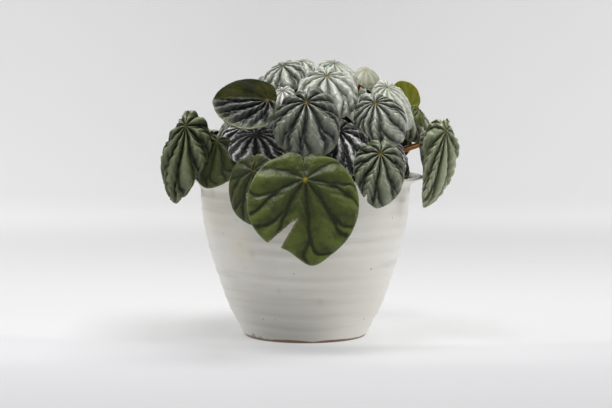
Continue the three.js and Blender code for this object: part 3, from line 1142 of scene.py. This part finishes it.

# %% All leaf finishes
# Each has the colours of vein, rib and crest, and then what differs from the usual leaf. The pale,
# bright and plain silver ones paint sheen; the dark one paints deep shade with crests as painted glints
FINISHES = {
    # outer: painted shade, less sheen on the lower part that hangs away from the light
    "silver": leaf_finish(
        "silver_ripple", (0.004, 0.007, 0.009), (0.062, 0.072, 0.048), (0.18, 0.195, 0.145),
        starts=(-0.02, 0.36), outer=(0.060, 0.072, 0.044, 0.6), coat=0.6,
    ),
    "soft_silver": leaf_finish(
        "soft_silver", (0.012, 0.017, 0.011), (0.105, 0.122, 0.068), (0.22, 0.24, 0.155),
        starts=(-0.02, 0.36), coat=0.4,
    ),
    "mid_silver": leaf_finish(
        "mid_silver", (0.010, 0.014, 0.011), (0.145, 0.16, 0.117), (0.38, 0.40, 0.33),
        starts=(-0.02, 0.36), coat=0.5, edge=0.4,
    ),
    # Painted sheen of leaves high in the light
    "pale": leaf_finish(
        "pale_silver_painted_sheen", (0.10, 0.11, 0.088), (0.34, 0.365, 0.30), (0.53, 0.55, 0.48), edge=0.3
    ),
    # Painted sheen of a leaf in full light
    "bright": leaf_finish(
        "bright_silver_painted_sheen", (0.12, 0.13, 0.11), (0.52, 0.54, 0.47), (0.72, 0.73, 0.67), edge=0.3
    ),
    # Painted sheen of a leaf in full light
    "plain_silver_painted_sheen": leaf_finish(
        "plain_silver_painted_sheen", (0.36, 0.38, 0.31), (0.48, 0.50, 0.42), (0.61, 0.62, 0.55), edge=0.3
    ),
    "pale_plain": leaf_finish(
        "pale_young", (0.22, 0.23, 0.15), (0.31, 0.32, 0.22), (0.45, 0.43, 0.36), edge=0.3
    ),
    "green_ripple": leaf_finish(
        "green_ripple", (0.009, 0.013, 0.007), (0.076, 0.100, 0.032), (0.20, 0.23, 0.12),
        starts=(-0.02, 0.38), outer=(0.095, 0.118, 0.027, 0.7), coat=0.3,
    ),
    "mid_green": leaf_finish(
        "mid_green_ripple", (0.010, 0.014, 0.008), (0.13, 0.145, 0.085), (0.32, 0.34, 0.24), coat=0.3
    ),
    "pale_green": leaf_finish(
        "pale_green", (0.08, 0.10, 0.045), (0.225, 0.26, 0.135), (0.40, 0.43, 0.28),
        starts=(-0.1, 0.3), coat=0.5,
    ),
    # Painted shade for leaves deep in the plant, with pale crests as painted glints
    "dark": leaf_finish(
        "dark_ripple_painted_shade_and_glints", (0.002, 0.003, 0.003), (0.020, 0.023, 0.021), (0.64, 0.65, 0.63),
        starts=(0.29, 0.47), gloss=0.3, coat=0.7, breakup=0.9,
    ),
    # Painted shade: far_half gives the folded half darker colours, partly its own olive
    "folded": leaf_finish(
        "folded_leaf", (0.004, 0.005, 0.004), (0.030, 0.034, 0.028), (0.13, 0.135, 0.12),
        starts=(0.15, 0.55), edge=0.85, coat=0.5, specular=0.12, breakup=0.2,
        far_half=((0.009, 0.012, 0.001), (0.042, 0.040, 0.002)),
    ),
    # outer: partly the leaf's own lighter green, partly painted light towards the tip
    "green": leaf_finish(
        "smooth_green", (0.012, 0.018, 0.004), (0.034, 0.046, 0.008), (0.054, 0.070, 0.014),
        starts=(0.0, 0.4), outer=(0.130, 0.168, 0.028, 0.85), gloss=0.42, coat=0.05, specular=0.28,
    ),
    "shaded_green": leaf_finish(
        "shaded_green", (0.012, 0.017, 0.005), (0.038, 0.047, 0.014), (0.062, 0.073, 0.024),
        starts=(0.0, 0.4), outer=(0.070, 0.085, 0.020, 0.6), gloss=0.42, coat=0.05, specular=0.28,
    ),
    "lit_through": leaf_finish(
        "lit_through", (0.14, 0.16, 0.03), (0.34, 0.37, 0.09), (0.41, 0.43, 0.14),
        edge=0.5, rim=colour(0.60, 0.22, 0.02), through=(0.65, 0.67, 0.16, 0.45),
    ),
    "olive": leaf_finish(
        "olive", (0.05, 0.06, 0.010), (0.11, 0.125, 0.02), (0.16, 0.17, 0.04),
        through=(0.45, 0.5, 0.06, 0.35),
    ),
}
print("leaf finishes:", ", ".join(FINISHES))

# %% [markdown]
# ## Which leaf is which
#
# Now every leaf of the frame can be made. A table says which pattern of veins and which finish each
# one has; a leaf that isn't in the table is an ordinary rippled silver one. Leaves that stand in full
# view get a mesh fine enough for crisp veins. The small ones, and those far back or mostly covered,
# get a coarser one, which keeps the whole plant light.

# %% Which leaf is which
# name: (vein pattern, finish)
LEAF_KINDS = {
    "front_torn": ("smooth", "green"),
    "lower_left_long": ("smooth", "shaded_green"),
    "lower_left_small": ("smooth", "shaded_green"),
    "left_trailing": ("rippled", "green_ripple"),
    "left_folded": ("rippled", "folded"),
    "left_dark": ("fine", "dark"),
    "middle_dark": ("rippled", "dark"),
    "low_right_dark": ("fine", "dark"),
    "right_back": ("fine", "mid_green"),
    "top_centre": ("rippled", "pale"),
    "small_top_right": ("plain", "pale_plain"),
    "right_silver": ("fine", "plain_silver_painted_sheen"),
    "lower_right": ("rippled", "soft_silver"),
    "top_back": ("fine", "pale"),
    "top_left_back": ("rippled", "pale"),
    "top_left": ("rippled", "mid_silver"),
    "right_centre": ("fine", "mid_silver"),
    "right_trailing": ("rippled", "pale_green"),
    "right_upright": ("plain", "lit_through"),
}
ORDINARY = ("rippled", "silver")
PATTERNS = {"rippled": RIPPLED, "fine": FINE, "smooth": SMOOTH, "plain": SMOOTH}
COARSER = {
    "back_left", "back_middle", "back_right", "back_upper_left", "back_upper_right", "left_side",
    "right_side", "left_back", "low_right_dark", "small_top_right", "right_upright", "right_back",
    "lower_left_small", "right_silver", "top_back", "top_left_back",
}
YELLOW_JOINTS = {
    "front_torn", "upper_front", "lower_right", "right_centre", "top_centre", "left_folded",
}
print(len(LEAF_KINDS), "leaves in the table,", len(COARSER), "leaves with a coarser mesh")

# %% Making the leaves
FULL_SPOKES = 264
FULL_RINGS = 28
COARSER_DETAIL = 0.65
FAINT_JOINT = 0.3
SAME_BELOW = ("lit_through", "olive")  # finishes that a leaf has on its underside too


def add_piece(name, mesh, replaced=()):
    """Puts a piece in the scene under the root body and hides the frame's parts that it replaces."""
    piece = bpy.data.objects.new(name, mesh)
    bpy.context.scene.collection.objects.link(piece)
    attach(piece, "root")
    if replaced:
        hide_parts(*replaced)
    return piece


def make_leaf(name, rings, kind, finish, replaced=(), detail=1.0, seed=0):
    length = np.linalg.norm(rings[RINGS, 0] - rings[0, 0])
    mesh = leaf_mesh(
        name,
        rings,
        veins=vein_pattern(PATTERNS[kind], seed),
        rib=scaled_ribs(kind, length, seed),
        tears=TEARS.get(name, ()),
        folded=finish == "folded",
        spokes=round(FULL_SPOKES * detail),
        ring_count=round(FULL_RINGS * detail),
        yellow=1.0 if name in YELLOW_JOINTS else FAINT_JOINT,
        seed=seed,
    )
    mesh.materials.append(FINISHES[finish])
    mesh.materials.append(FINISHES[finish] if finish in SAME_BELOW else UNDERSIDE)
    return add_piece("leaf_" + name, mesh, replaced)


total = 0
for number, name in enumerate(LEAF_NAMES):
    kind, finish = LEAF_KINDS.get(name, ORDINARY)
    detail = COARSER_DETAIL if name in COARSER else 1.0
    leaf = make_leaf(name, cages[name], kind, finish, ["blade_" + name], detail, seed=number)
    total += sum(len(face.vertices) - 2 for face in leaf.data.polygons)
print(len(LEAF_NAMES), "leaves,", total, "triangles")

# %% [markdown]
# ## The stalks
#
# Each leaf hangs from a fleshy red stalk that rises from the crown and bends over. The frame's stalk
# is a six-sided tube. Walking up it ring by ring gives the middle line, which a smooth round tube
# then follows. It starts inside the crown and ends inside the leaf, so nothing floats.

# %% Stalk middle lines
CROWN_MIDDLE = np.array([0, 0, 74 * MM])


def stalk_line(name):
    """The middle points of a frame stalk, from the crown to the leaf."""
    points, faces = welded("stalk_" + name)
    near = neighbours_of(points, faces)
    first = np.argsort(np.linalg.norm(points - CROWN_MIDDLE, axis=1))[:6]
    steps = steps_from([int(i) for i in first], near)
    last = max(steps.values())
    return np.array([points[[i for i, k in steps.items() if k == s]].mean(0) for s in range(last + 1)])


lines = {name: stalk_line(name) for name in LEAF_NAMES}
print("middle lines of", len(lines["front_torn"]), "points each")


# %% Smooth tubes
STALK_SIDES = 12


def smooth_line(points, count):
    """A Catmull-Rom curve through the points."""
    padded = np.vstack([2 * points[0] - points[1], points, 2 * points[-1] - points[-2]])
    t = np.linspace(0, len(points) - 1 - 1e-9, count)
    k = t.astype(int)
    t = (t - k)[:, None]
    a, b, c, d = (padded[k + i] for i in range(4))
    second = 2 * a - 5 * b + 4 * c - d
    third = 3 * b - a - 3 * c + d
    return 0.5 * (2 * b + (c - a) * t + second * t**2 + third * t**3)


def tube_mesh(name, line, radii, sides=STALK_SIDES):
    """A closed round tube along a line of points, with a mask that runs from 0 to 1 along it."""
    ahead = np.gradient(line, axis=0)
    ahead /= np.linalg.norm(ahead, axis=1)[:, None]
    side = unit(np.cross(ahead[0], (0.3, 0.9, 0.1)))
    vertices = []
    for k, middle in enumerate(line):
        side = unit(side - ahead[k] * (side @ ahead[k]))
        other = np.cross(ahead[k], side)
        for a in np.arange(sides) * 2 * math.pi / sides:
            vertices.append(middle + radii[k] * (math.cos(a) * side + math.sin(a) * other))
    faces = [tuple(reversed(range(sides)))]
    for k in range(len(line) - 1):
        for j in range(sides):
            a, b = k * sides + j, k * sides + (j + 1) % sides
            faces.append((a, b, b + sides, a + sides))
    faces.append(tuple(range((len(line) - 1) * sides, len(line) * sides)))
    mesh = bpy.data.meshes.new(name)
    mesh.from_pydata([tuple(v) for v in vertices], [], faces)
    mesh.shade_smooth()
    add_mask(mesh, "along", np.repeat(np.linspace(0, 1, len(line)), sides))
    return mesh


sample_line = smooth_line(lines["front_torn"], 200)
sample_length = np.linalg.norm(np.diff(sample_line, axis=0), axis=1).sum()
print("the front leaf's stalk is", round(sample_length / MM), "mm long")


# %% Stalk finishes
def stalk_finish(name, lit_end, lit_from=0.9):
    """Brown at the crown, then red with blotches, and the colour lit_end at the leaf."""
    material, tree, skin = new_material(name)
    place = add_node(tree, "TexCoord").outputs["Object"]
    along_it = add_node(tree, "Attribute", attribute_name="along").outputs["Fac"]
    blotches = noise(tree, place, 260, 4)
    shifted = plus(tree, along_it, even_step(tree, blotches, 0.0, 1.0, -0.25, 0.25))
    stops = {
        0.05: colour(0.12, 0.08, 0.025),
        0.4: colour(0.18, 0.045, 0.02),
        lit_from: colour(*lit_end),
    }
    fill_all(tree, skin, {"Base Color": colour_ramp(tree, shifted, stops), "Roughness": 0.38})
    add_bump(tree, skin, blotches, 0.35, 0.2 * MM)
    return material


RED_STALK = stalk_finish("red_stalk", (0.30, 0.10, 0.03))
# The orange stalk is partly its own orange, partly painted light: bright from 0.6 of its length
ORANGE_STALK = stalk_finish("orange_stalk", (0.95, 0.42, 0.10), 0.6)
print("stalk finishes:", RED_STALK.name, "and", ORANGE_STALK.name)

# %% Making the stalks
STALK_RADIUS = 1.1 * MM
STALK_RINGS = 30
IN_CROWN = 1.5 * MM
IN_LEAF = 0.4  # in mm, below the leaf's smooth surface


def make_stalk(name, line, rings, replaced=()):
    """A stalk along the line, from just inside the crown to just inside the leaf."""
    start = line[0] + unit(line[0] - line[1]) * IN_CROWN
    leaf_out = normals_of(surface, rings, np.zeros(1), np.full(1, 0.05))[0]
    end = rings[0, 0] - leaf_out * IN_LEAF * MM
    whole = smooth_line(np.vstack([start, line, end]), STALK_RINGS)

    # Thinner towards the leaf, with a flared foot and a small collar under the joint
    share = np.linspace(0, 1, len(whole))
    taper = 1.12 - 0.3 * share
    foot = 0.35 * np.exp(-share / 0.03)
    collar = 0.2 * np.exp((share - 1) / 0.04)
    mesh = tube_mesh(name, whole, STALK_RADIUS * (taper + foot + collar))
    mesh.materials.append(ORANGE_STALK if name == "right_trailing" else RED_STALK)
    return add_piece("stem_" + name, mesh, replaced)


for name in LEAF_NAMES:
    make_stalk(name, lines[name], cages[name], ["stalk_" + name])
lengths = [np.linalg.norm(np.diff(line, axis=0), axis=1).sum() / MM for line in lines.values()]
print("stalks from", round(min(lengths)), "to", round(max(lengths)), "mm long")

# %% [markdown]
# ## More leaves inside the plant
#
# A real plant has more leaves than anyone would measure: young ones among the stalks, ones deep inside
# that are painted nearly black as shade, and others that fill its sides, back and top. They are grown
# here from the leaves that are already there. A source leaf and its stalk are turned about the crown
# until the joint reaches a new place, and the blade gets a new size, so every added leaf still stands
# on a stalk from the crown.


# %% Growing a leaf from another
def grown_from(source, target, size):
    """The rings and stalk line of a source leaf, moved so that its joint is at the target (mm)."""
    rings, line = cages[source], lines[source]
    was = rings[0, 0] - CROWN_MIDDLE
    now = np.array(target) * MM - CROWN_MIDDLE
    turn = math.atan2(now[1], now[0]) - math.atan2(was[1], was[0])
    stretch = np.linalg.norm(now) / np.linalg.norm(was)
    lean = math.acos(unit(now)[2]) - math.acos(unit(was)[2])
    lean_axis = unit(np.array([-now[1], now[0], 0]))

    def moved(points):
        still_upright = turned_about(points, np.array([0, 0, 1]), turn)
        return turned_about(still_upright, lean_axis, lean)

    new_line = moved(line - CROWN_MIDDLE)
    new_line = CROWN_MIDDLE + new_line * np.linspace(1, stretch, len(line))[:, None]
    new_rings = CROWN_MIDDLE + now + moved(rings - rings[0, 0]) * size
    return new_rings, new_line


sample_rings, _ = grown_from("upper_front", (0, 60, 120), 1)
print("a leaf grown at the back joins its stalk at", np.round(sample_rings[0, 0] / MM, 1), "mm")

# %% The added leaves
ADDED_DETAIL = 0.5
ADDED_FIRST_SEED = 100
# name: (source, joint in mm, size, finish)
ADDED = {
    "inner_left": ("upper_front", (-12, -34, 136), 0.42, "bright"),
    "right_olive": ("right_side", (61, -21, 126), 0.33, "olive"),
    "inner_dark_left": ("left_dark", (-34, -30, 116), 0.9, "dark"),
    "inner_dark_middle": ("left_dark", (-13, -37, 127), 1.25, "dark"),
    "inner_dark_low": ("middle_dark", (-4, -42, 114), 1.0, "dark"),
    "inner_dark_right": ("low_right_dark", (30, -26, 116), 0.9, "dark"),
    "low_side_left": ("left_dark", (-48, -8, 104), 1.0, "dark"),
    "low_side_right": ("low_right_dark", (52, 2, 104), 1.0, "dark"),
    "back_low_left": ("left_dark", (-22, 52, 100), 1.0, "dark"),
    "back_low_right": ("low_right_dark", (22, 54, 100), 1.0, "dark"),
    "back_inner": ("middle_dark", (2, 38, 122), 0.9, "silver"),
    "side_upper_left": ("right_back", (-34, 30, 120), 0.7, "silver"),
    "side_upper_right": ("upper_front", (50, 24, 124), 0.9, "silver"),
    "top_fill_right": ("top_back", (34, 12, 133), 1.5, "mid_silver"),
    "top_fill_left": ("top_left", (-30, 8, 134), 1.5, "silver"),
    "top_fill_back": ("back_upper_left", (0, 32, 134), 0.9, "mid_silver"),
    "top_fill_middle": ("top_left_back", (6, -14, 136), 1.2, "silver"),
    "top_fill_back_left": ("top_left_back", (-16, 20, 131), 1.3, "silver"),
    "top_fill_back_right": ("top_back", (18, 22, 130), 1.5, "silver"),
    "top_fill_low_left": ("top_left", (-38, -12, 122), 1.2, "silver"),
    "top_fill_low_right": ("top_left", (40, -6, 122), 1.2, "silver"),
    "back_mid_left": ("back_upper_left", (-32, 44, 118), 0.85, "silver"),
    "back_mid_right": ("back_upper_right", (30, 46, 116), 0.85, "silver"),
    "left_low_front": ("left_side", (-66, -12, 108), 0.8, "silver"),
    "left_low_back": ("left_side", (-56, 42, 106), 0.85, "silver"),
    "right_low_back": ("right_side", (50, 46, 106), 0.85, "silver"),
    "right_low_front": ("right_side", (68, -8, 108), 0.8, "silver"),
    "side_mid_right": ("right_side", (46, -14, 114), 0.7, "dark"),
    "side_mid_left": ("left_side", (-42, -6, 112), 0.7, "dark"),
    "young_front": ("small_top_right", (10, -10, 112), 0.9, "silver"),
    "young_back": ("small_top_right", (-14, 16, 110), 0.9, "silver"),
    "young_right": ("small_top_right", (20, 20, 112), 1.0, "silver"),
}

for number, (name, (source, joint, size, finish)) in enumerate(ADDED.items()):
    rings, line = grown_from(source, joint, size)
    seed = ADDED_FIRST_SEED + number
    make_leaf(name, rings, "rippled", finish, detail=ADDED_DETAIL, seed=seed)
    make_stalk(name, line, rings)
print(len(ADDED), "added leaves")

# %% [markdown]
# ## The pot
#
# The pot was thrown on a wheel: a tapered bowl with a lip turned outwards. The frame's profile is
# read from the points that lie straight out along X, walked from the middle of the base, up the
# outside, over the lip and down the inside. A smooth curve through them is spun round the axis.
#
# The potter's fingers climb the turning wall and leave a low ridge about every seven millimetres,
# some strong, some nearly wiped away. They are added as small changes of radius.

# %% Reading and spinning an outline
POT_SEGMENTS = 144
POT_PROFILE_POINTS = 260


def profile_of(node):
    """The outline of a turned solid as (radius, height) points, walked from the axis."""
    points, faces = welded(node)
    near = neighbours_of(points, faces)
    on_line = {i for i, (x, y, _) in enumerate(points) if abs(y) < 1e-6 and x > -1e-6}
    here = min(on_line, key=lambda i: points[i][0] + points[i][2])
    walked = [here]
    while True:
        ahead = [i for i in near[here] if i in on_line and i not in walked]
        if not ahead:
            break
        here = max(ahead, key=lambda i: points[i][0]) if len(walked) == 1 else ahead[0]
        walked.append(here)
    return points[walked][:, [0, 2]]


def turned_mesh(name, profile, segments):
    """A solid of revolution whose profile starts and ends on the axis."""
    first, *middle, last = profile
    angles = np.arange(segments) * 2 * math.pi / segments
    vertices = [(0, 0, first[1]), (0, 0, last[1])]
    for radius, height in middle:
        vertices += [(radius * math.cos(a), radius * math.sin(a), height) for a in angles]
    faces = []
    end = 2 + (len(middle) - 1) * segments
    for j in range(segments):
        following = (j + 1) % segments
        faces.append((0, 2 + following, 2 + j))
        faces.append((1, end + j, end + following))
        for k in range(len(middle) - 1):
            a, b = 2 + k * segments + j, 2 + k * segments + following
            faces.append((a, b, b + segments, a + segments))
    mesh = bpy.data.meshes.new(name)
    mesh.from_pydata(vertices, [], faces)
    mesh.shade_smooth()
    return mesh


pot_outline = profile_of("pot")
curved = smooth_line(pot_outline[1:-1], POT_PROFILE_POINTS)
pot_profile = np.vstack([pot_outline[:1], curved, pot_outline[-1:]])
pot_profile[:, 1] = pot_profile[:, 1].clip(0)
pot_mesh = turned_mesh("pot", pot_profile, POT_SEGMENTS)
lip_radius = pot_profile[:, 0].max()
print("pot profile of", len(pot_outline), "frame points, lip radius", round(lip_radius / MM, 1), "mm")

# %% The throwing ridges
THROWING_STEP = 6.9 * MM
RIDGE_HEIGHT = 0.75 * MM
RIDGE_WIDTH = 1.5 * MM
RIDGES = 40  # more than the wall has, so that each ridge has a strength of its own
WOBBLE = 0.25 * MM

places = np.array([v.co for v in pot_mesh.vertices])
radius = np.hypot(places[:, 0], places[:, 1])
turn = np.arctan2(places[:, 1], places[:, 0])
random = np.random.default_rng(7)
ridges = random.uniform(0.25, 1, RIDGES)

# The ridges climb unevenly round the pot, lie a little off their even step, and fade here and there
climb = places[:, 2] / THROWING_STEP + 0.25 * np.sin(turn + 0.8) + 0.12 * np.sin(3 * turn)
nearest = np.round(climb).astype(int)
off = (climb - nearest) * THROWING_STEP
off += 0.25 * THROWING_STEP * (ridges[(nearest + 7) % RIDGES] - 0.6)
strength = ridges[nearest % RIDGES]
patchy = 0.7 + 0.3 * np.sin(2 * turn + 5 * strength)
raised = RIDGE_HEIGHT * strength * patchy * np.exp(-((off / RIDGE_WIDTH) ** 2))

# The whole wall is a little oval, more so towards the lip; nothing changes near the axis
wobble = WOBBLE * np.sin(2 * turn + 0.5) * (places[:, 2] / (90 * MM)) ** 2
change = (raised + wobble) * np.clip((radius - 30 * MM) / (8 * MM), 0, 1)
stretch = 1 + change / np.maximum(radius, MM)
places[:, 0] *= stretch
places[:, 1] *= stretch
pot_mesh.vertices.foreach_set("co", places.astype(np.float32).ravel())
pot_mesh.update()
pot = add_piece("glazed_pot", pot_mesh, ["pot"])
print("the wall moves by", round(change.min() / MM, 2), "to", round(change.max() / MM, 2), "mm")

# %% [markdown]
# ## The glaze
#
# White glaze is never quite white. It pools a little grey in the throwing rings, runs thin and warm
# over the lip, and stops in a brown line of bare clay at the foot. Water leaves a few tea-coloured
# stains. The stains are placed one by one: each is a soft ball round a point on the wall, and
# together they make one mask.

# %% Stains and specks
# (x, z, radius) in mm on the front wall; the last three specks are dark blotches at the foot
STAINS = [
    (-50, 82, 5), (-36.5, 68.5, 3), (-28, 50, 3.5), (-35, 55, 2.5), (-32, 42, 2.5),
    (20, 74, 3), (41, 58, 2.5), (8, 24, 3), (-14, 30, 2),
]
SPECKS = [
    (-22.6, 13.3, 0.7), (-16, 14, 0.6), (46.9, 68.3, 0.6), (35.5, 40.8, 0.6), (32, 12, 0.6),
    (-6, 40, 0.4), (14, 52, 0.4), (-44, 60, 0.5), (-24, 1, 2.5), (-28, 2, 2.2), (-20, 0.5, 2),
]
WARM_PATCHES = [(-50, 74, 24), (-36, 56, 16), (18, 66, 12)]  # where the glaze lies thin and yellowish
FOOT_SHADE_PATCH = (-12, 4, 38)  # painted shade: a wide grey patch above the foot, where the pot's front is in shade


def on_front_wall(x, z):
    """The point on the front of the pot's outside at this x and height."""
    outside = pot_outline[1:14] / MM
    radius = np.interp(z, outside[:, 1], outside[:, 0])
    return (x * MM, -math.sqrt(max(radius**2 - x**2, 0)) * MM, z * MM)


def spots_mask(tree, place, spots, softness):
    """One mask for many round spots: the strongest of them at each point."""
    strongest = None
    for x, z, size in spots:
        away = add_node(tree, "VectorMath", operation="DISTANCE")
        tree.links.new(place, away.inputs[0])
        away.inputs[1].default_value = on_front_wall(x, z)
        ball = soft_step(tree, away.outputs["Value"], size * MM, size * MM * (1 - softness))
        strongest = arithmetic(tree, "MAXIMUM", strongest, ball) if strongest else ball
    return strongest


print(len(STAINS), "stains and", len(SPECKS), "specks")


# %% The glaze
def glaze_colour(tree, place, height, clouds, streaks):
    """White, changed in turn by clouds, streaks, warm patches, stains, specks, painted shade and the
    clay.
    """
    white = colour(0.82, 0.80, 0.735)
    white = blend(tree, soft_step(tree, clouds, 0.35, 0.65), white, colour(0.77, 0.745, 0.67))
    pooled = times(tree, soft_step(tree, streaks, 0.5, 0.72), 0.45)
    white = blend(tree, pooled, white, colour(0.60, 0.585, 0.53))
    warm = times(tree, spots_mask(tree, place, WARM_PATCHES, 0.95), 0.5)
    white = blend(tree, warm, white, colour(0.78, 0.71, 0.56))
    patchy = soft_step(tree, clouds, 0.3, 0.6)
    stain = times(tree, times(tree, spots_mask(tree, place, STAINS, 0.9), patchy), 0.45)
    white = blend(tree, stain, white, colour(0.62, 0.53, 0.38))
    speck = times(tree, spots_mask(tree, place, SPECKS, 0.5), 0.8)
    white = blend(tree, speck, white, colour(0.10, 0.08, 0.06))
    # Painted shade: a wide grey patch above the foot
    foot_shade = times(tree, spots_mask(tree, place, [FOOT_SHADE_PATCH], 0.95), 0.75)
    white = blend(tree, foot_shade, white, colour(0.46, 0.45, 0.41))
    thin_on_lip = times(tree, soft_step(tree, height, 88.0 * MM, 88.7 * MM), 0.5)
    white = blend(tree, thin_on_lip, white, colour(0.60, 0.52, 0.38))
    ragged = arithmetic(tree, "MULTIPLY_ADD", clouds, 5 * MM, height)
    bare_clay = soft_step(tree, ragged, 4.2 * MM, 3.6 * MM)
    return blend(tree, bare_clay, white, colour(0.20, 0.11, 0.06))


def glaze_finish():
    material, tree, skin = new_material("white_glaze")
    place = add_node(tree, "TexCoord").outputs["Object"]
    height = add_node(tree, "SeparateXYZ", {"Vector": place}).outputs["Z"]
    flat = add_node(tree, "Mapping", {"Vector": place, "Scale": (12, 12, 210)})
    streaks = noise(tree, flat.outputs["Vector"], 1, 3)
    clouds = noise(tree, place, 28, 4)
    pores = noise(tree, place, 900, 2)
    looks = {
        "Base Color": glaze_colour(tree, place, height, clouds, streaks),
        "Roughness": even_step(tree, soft_step(tree, clouds, 0.3, 0.7), 0.0, 1.0, 0.32, 0.42),
        "Coat Weight": 0.3,
        "Coat Roughness": 0.2,
    }
    fill_all(tree, skin, looks)
    add_bump(tree, skin, plus(tree, streaks, times(tree, pores, 0.12)), 0.5, 0.35 * MM)
    print("glaze with", len(tree.nodes), "nodes")
    return material


pot.data.materials.append(glaze_finish())

# %% [markdown]
# ## The soil
#
# Potting soil is dark, loose and full of crumbs. The bed is a spun disc whose top is roughened by
# moving each point a little. Crumbs of many sizes lie half sunk in it: each is a small ball of
# twenty triangles with its corners pushed in and out, all joined into one mesh.

# %% The soil bed
SOIL_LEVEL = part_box("soil")[1].z
SOIL_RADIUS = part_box("soil")[1].x
BED_TOP = SOIL_LEVEL - 1.6 * MM
SOIL_BOTTOM = 8 * MM
random = np.random.default_rng(11)

bed_profile = [(0, SOIL_BOTTOM), (31 * MM, SOIL_BOTTOM), (SOIL_RADIUS - 0.2 * MM, SOIL_LEVEL - 3 * MM)]
bed_profile += [(SOIL_RADIUS * s, BED_TOP) for s in np.linspace(0.985, 0, 30)]
bed_mesh = turned_mesh("soil_bed", bed_profile, 120)
for vertex in bed_mesh.vertices:
    if vertex.co.z > SOIL_LEVEL - 2 * MM:
        vertex.co.z += random.uniform(-0.7, 0.9) * MM
add_mask(bed_mesh, "tone", [0.3] * len(bed_mesh.vertices))
print("soil bed of radius", round(SOIL_RADIUS / MM, 1), "mm,", round(BED_TOP / MM, 1), "mm high")

# %% The crumbs
CRUMBS = 700
LARGEST_CRUMB = 2.1 * MM


def ball_points(steps):
    """The points and faces of a ball made of triangles."""
    ball = bmesh.new()
    bmesh.ops.create_icosphere(ball, subdivisions=steps, radius=1)
    points = np.array([v.co for v in ball.verts])
    faces = [[v.index for v in f.verts] for f in ball.faces]
    ball.free()
    return points, faces


crumb, crumb_faces = ball_points(1)
vertices = []
faces = []
tones = []
for _ in range(CRUMBS):
    turn = random.uniform(0, 2 * math.pi)
    away = (0.2 + 0.76 * math.sqrt(random.uniform())) * SOIL_RADIUS
    size = random.uniform(0.4, 1.0) ** 2 * LARGEST_CRUMB
    middle = np.array([away * math.cos(turn), away * math.sin(turn), BED_TOP + size * 0.25])
    shape = crumb * random.uniform(0.65, 1.2, (len(crumb), 1)) * random.uniform(0.7, 1.2, 3) * size
    faces += [[i + len(vertices) for i in face] for face in crumb_faces]
    vertices += (middle + shape).tolist()
    tones += [random.uniform()] * len(crumb)
crumbs_mesh = bpy.data.meshes.new("soil_crumbs")
crumbs_mesh.from_pydata(vertices, [], faces)
add_mask(crumbs_mesh, "tone", tones)
print(CRUMBS, "crumbs of", len(crumb_faces), "triangles each")


# %% The soil finish
def soil_finish():
    """Damp brown crumbs, and some dry ones that are paler, with grain on both."""
    material, tree, skin = new_material("potting_soil")
    place = add_node(tree, "TexCoord").outputs["Object"]
    tone = add_node(tree, "Attribute", attribute_name="tone").outputs["Fac"]
    grains = noise(tree, place, 900, 5)
    mixed = arithmetic(tree, "MULTIPLY_ADD", grains, 0.5, tone)
    stops = {
        0.85: colour(0.030, 0.018, 0.011),
        0.851: colour(0.046, 0.029, 0.017),
        1.0: colour(0.055, 0.034, 0.020),
    }
    fill_all(tree, skin, {"Base Color": colour_ramp(tree, mixed, stops), "Roughness": 0.9})
    add_bump(tree, skin, grains, 0.8, 0.4 * MM)
    return material


SOIL_FINISH = soil_finish()
for name, mesh, replaced in (("soil_bed", bed_mesh, ["soil"]), ("soil_crumbs", crumbs_mesh, [])):
    mesh.materials.append(SOIL_FINISH)
    piece = add_piece(name, mesh, replaced)
    print(piece.name, "has", len(mesh.polygons), "faces")

# %% [markdown]
# ## The crown
#
# The stalks spring from a short thick stem, knobbly with the scars of old leaves. A spun dome takes
# its size from the frame's own, and rounded knobs are pushed out of it.

# %% The crown's shape
crown_low, crown_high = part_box("crown")
CROWN_RADIUS = crown_high.x
CROWN_HEIGHT = crown_high.z - crown_low.z
KNOBS = 34
KNOB_WIDTH = 0.22  # as a share of the crown's radius

dome = [(0, crown_low.z - 1 * MM)]
for a in np.linspace(0, math.pi / 2, 22):
    dome.append((CROWN_RADIUS * math.cos(a), crown_low.z + CROWN_HEIGHT * math.sin(a)))
crown_mesh = turned_mesh("crown", dome, 72)

random = np.random.default_rng(5)
knobs = random.normal(size=(KNOBS, 3))
knobs[:, 2] = np.abs(knobs[:, 2])
knobs /= np.linalg.norm(knobs, axis=1)[:, None]
crown_foot = Vector((0, 0, crown_low.z))
hollows = []
for vertex in crown_mesh.vertices:
    away = vertex.co - crown_foot
    direction = np.array(away.normalized() if away.length > MM else (0, 0, 1))
    nearest_knob = np.linalg.norm(knobs - direction, axis=1).min()
    knob = math.exp(-((nearest_knob / KNOB_WIDTH) ** 2))
    hollows.append(1 - knob)
    vertex.co = crown_foot + away * (0.9 + 0.1 * knob)
add_mask(crown_mesh, "hollow", hollows)
print("crown", round(2 * CROWN_RADIUS / MM), "mm across and", round(CROWN_HEIGHT / MM), "mm high")


# %% The crown's finish
def crown_finish():
    """Brown bark that is darker between the knobs."""
    material, tree, skin = new_material("crown_bark")
    place = add_node(tree, "TexCoord").outputs["Object"]
    hollow = add_node(tree, "Attribute", attribute_name="hollow").outputs["Fac"]
    bark = noise(tree, place, 420, 5)
    mixed = arithmetic(tree, "MULTIPLY_ADD", bark, 0.5, hollow)
    stops = {0.2: colour(0.16, 0.10, 0.035), 1.0: colour(0.045, 0.028, 0.014)}
    fill_all(tree, skin, {"Base Color": colour_ramp(tree, mixed, stops), "Roughness": 0.6})
    add_bump(tree, skin, bark, 0.6, 0.4 * MM)
    return material


crown_mesh.materials.append(crown_finish())
add_piece("crown_stem", crown_mesh, ["crown"])
print("crown with", KNOBS, "knobs")
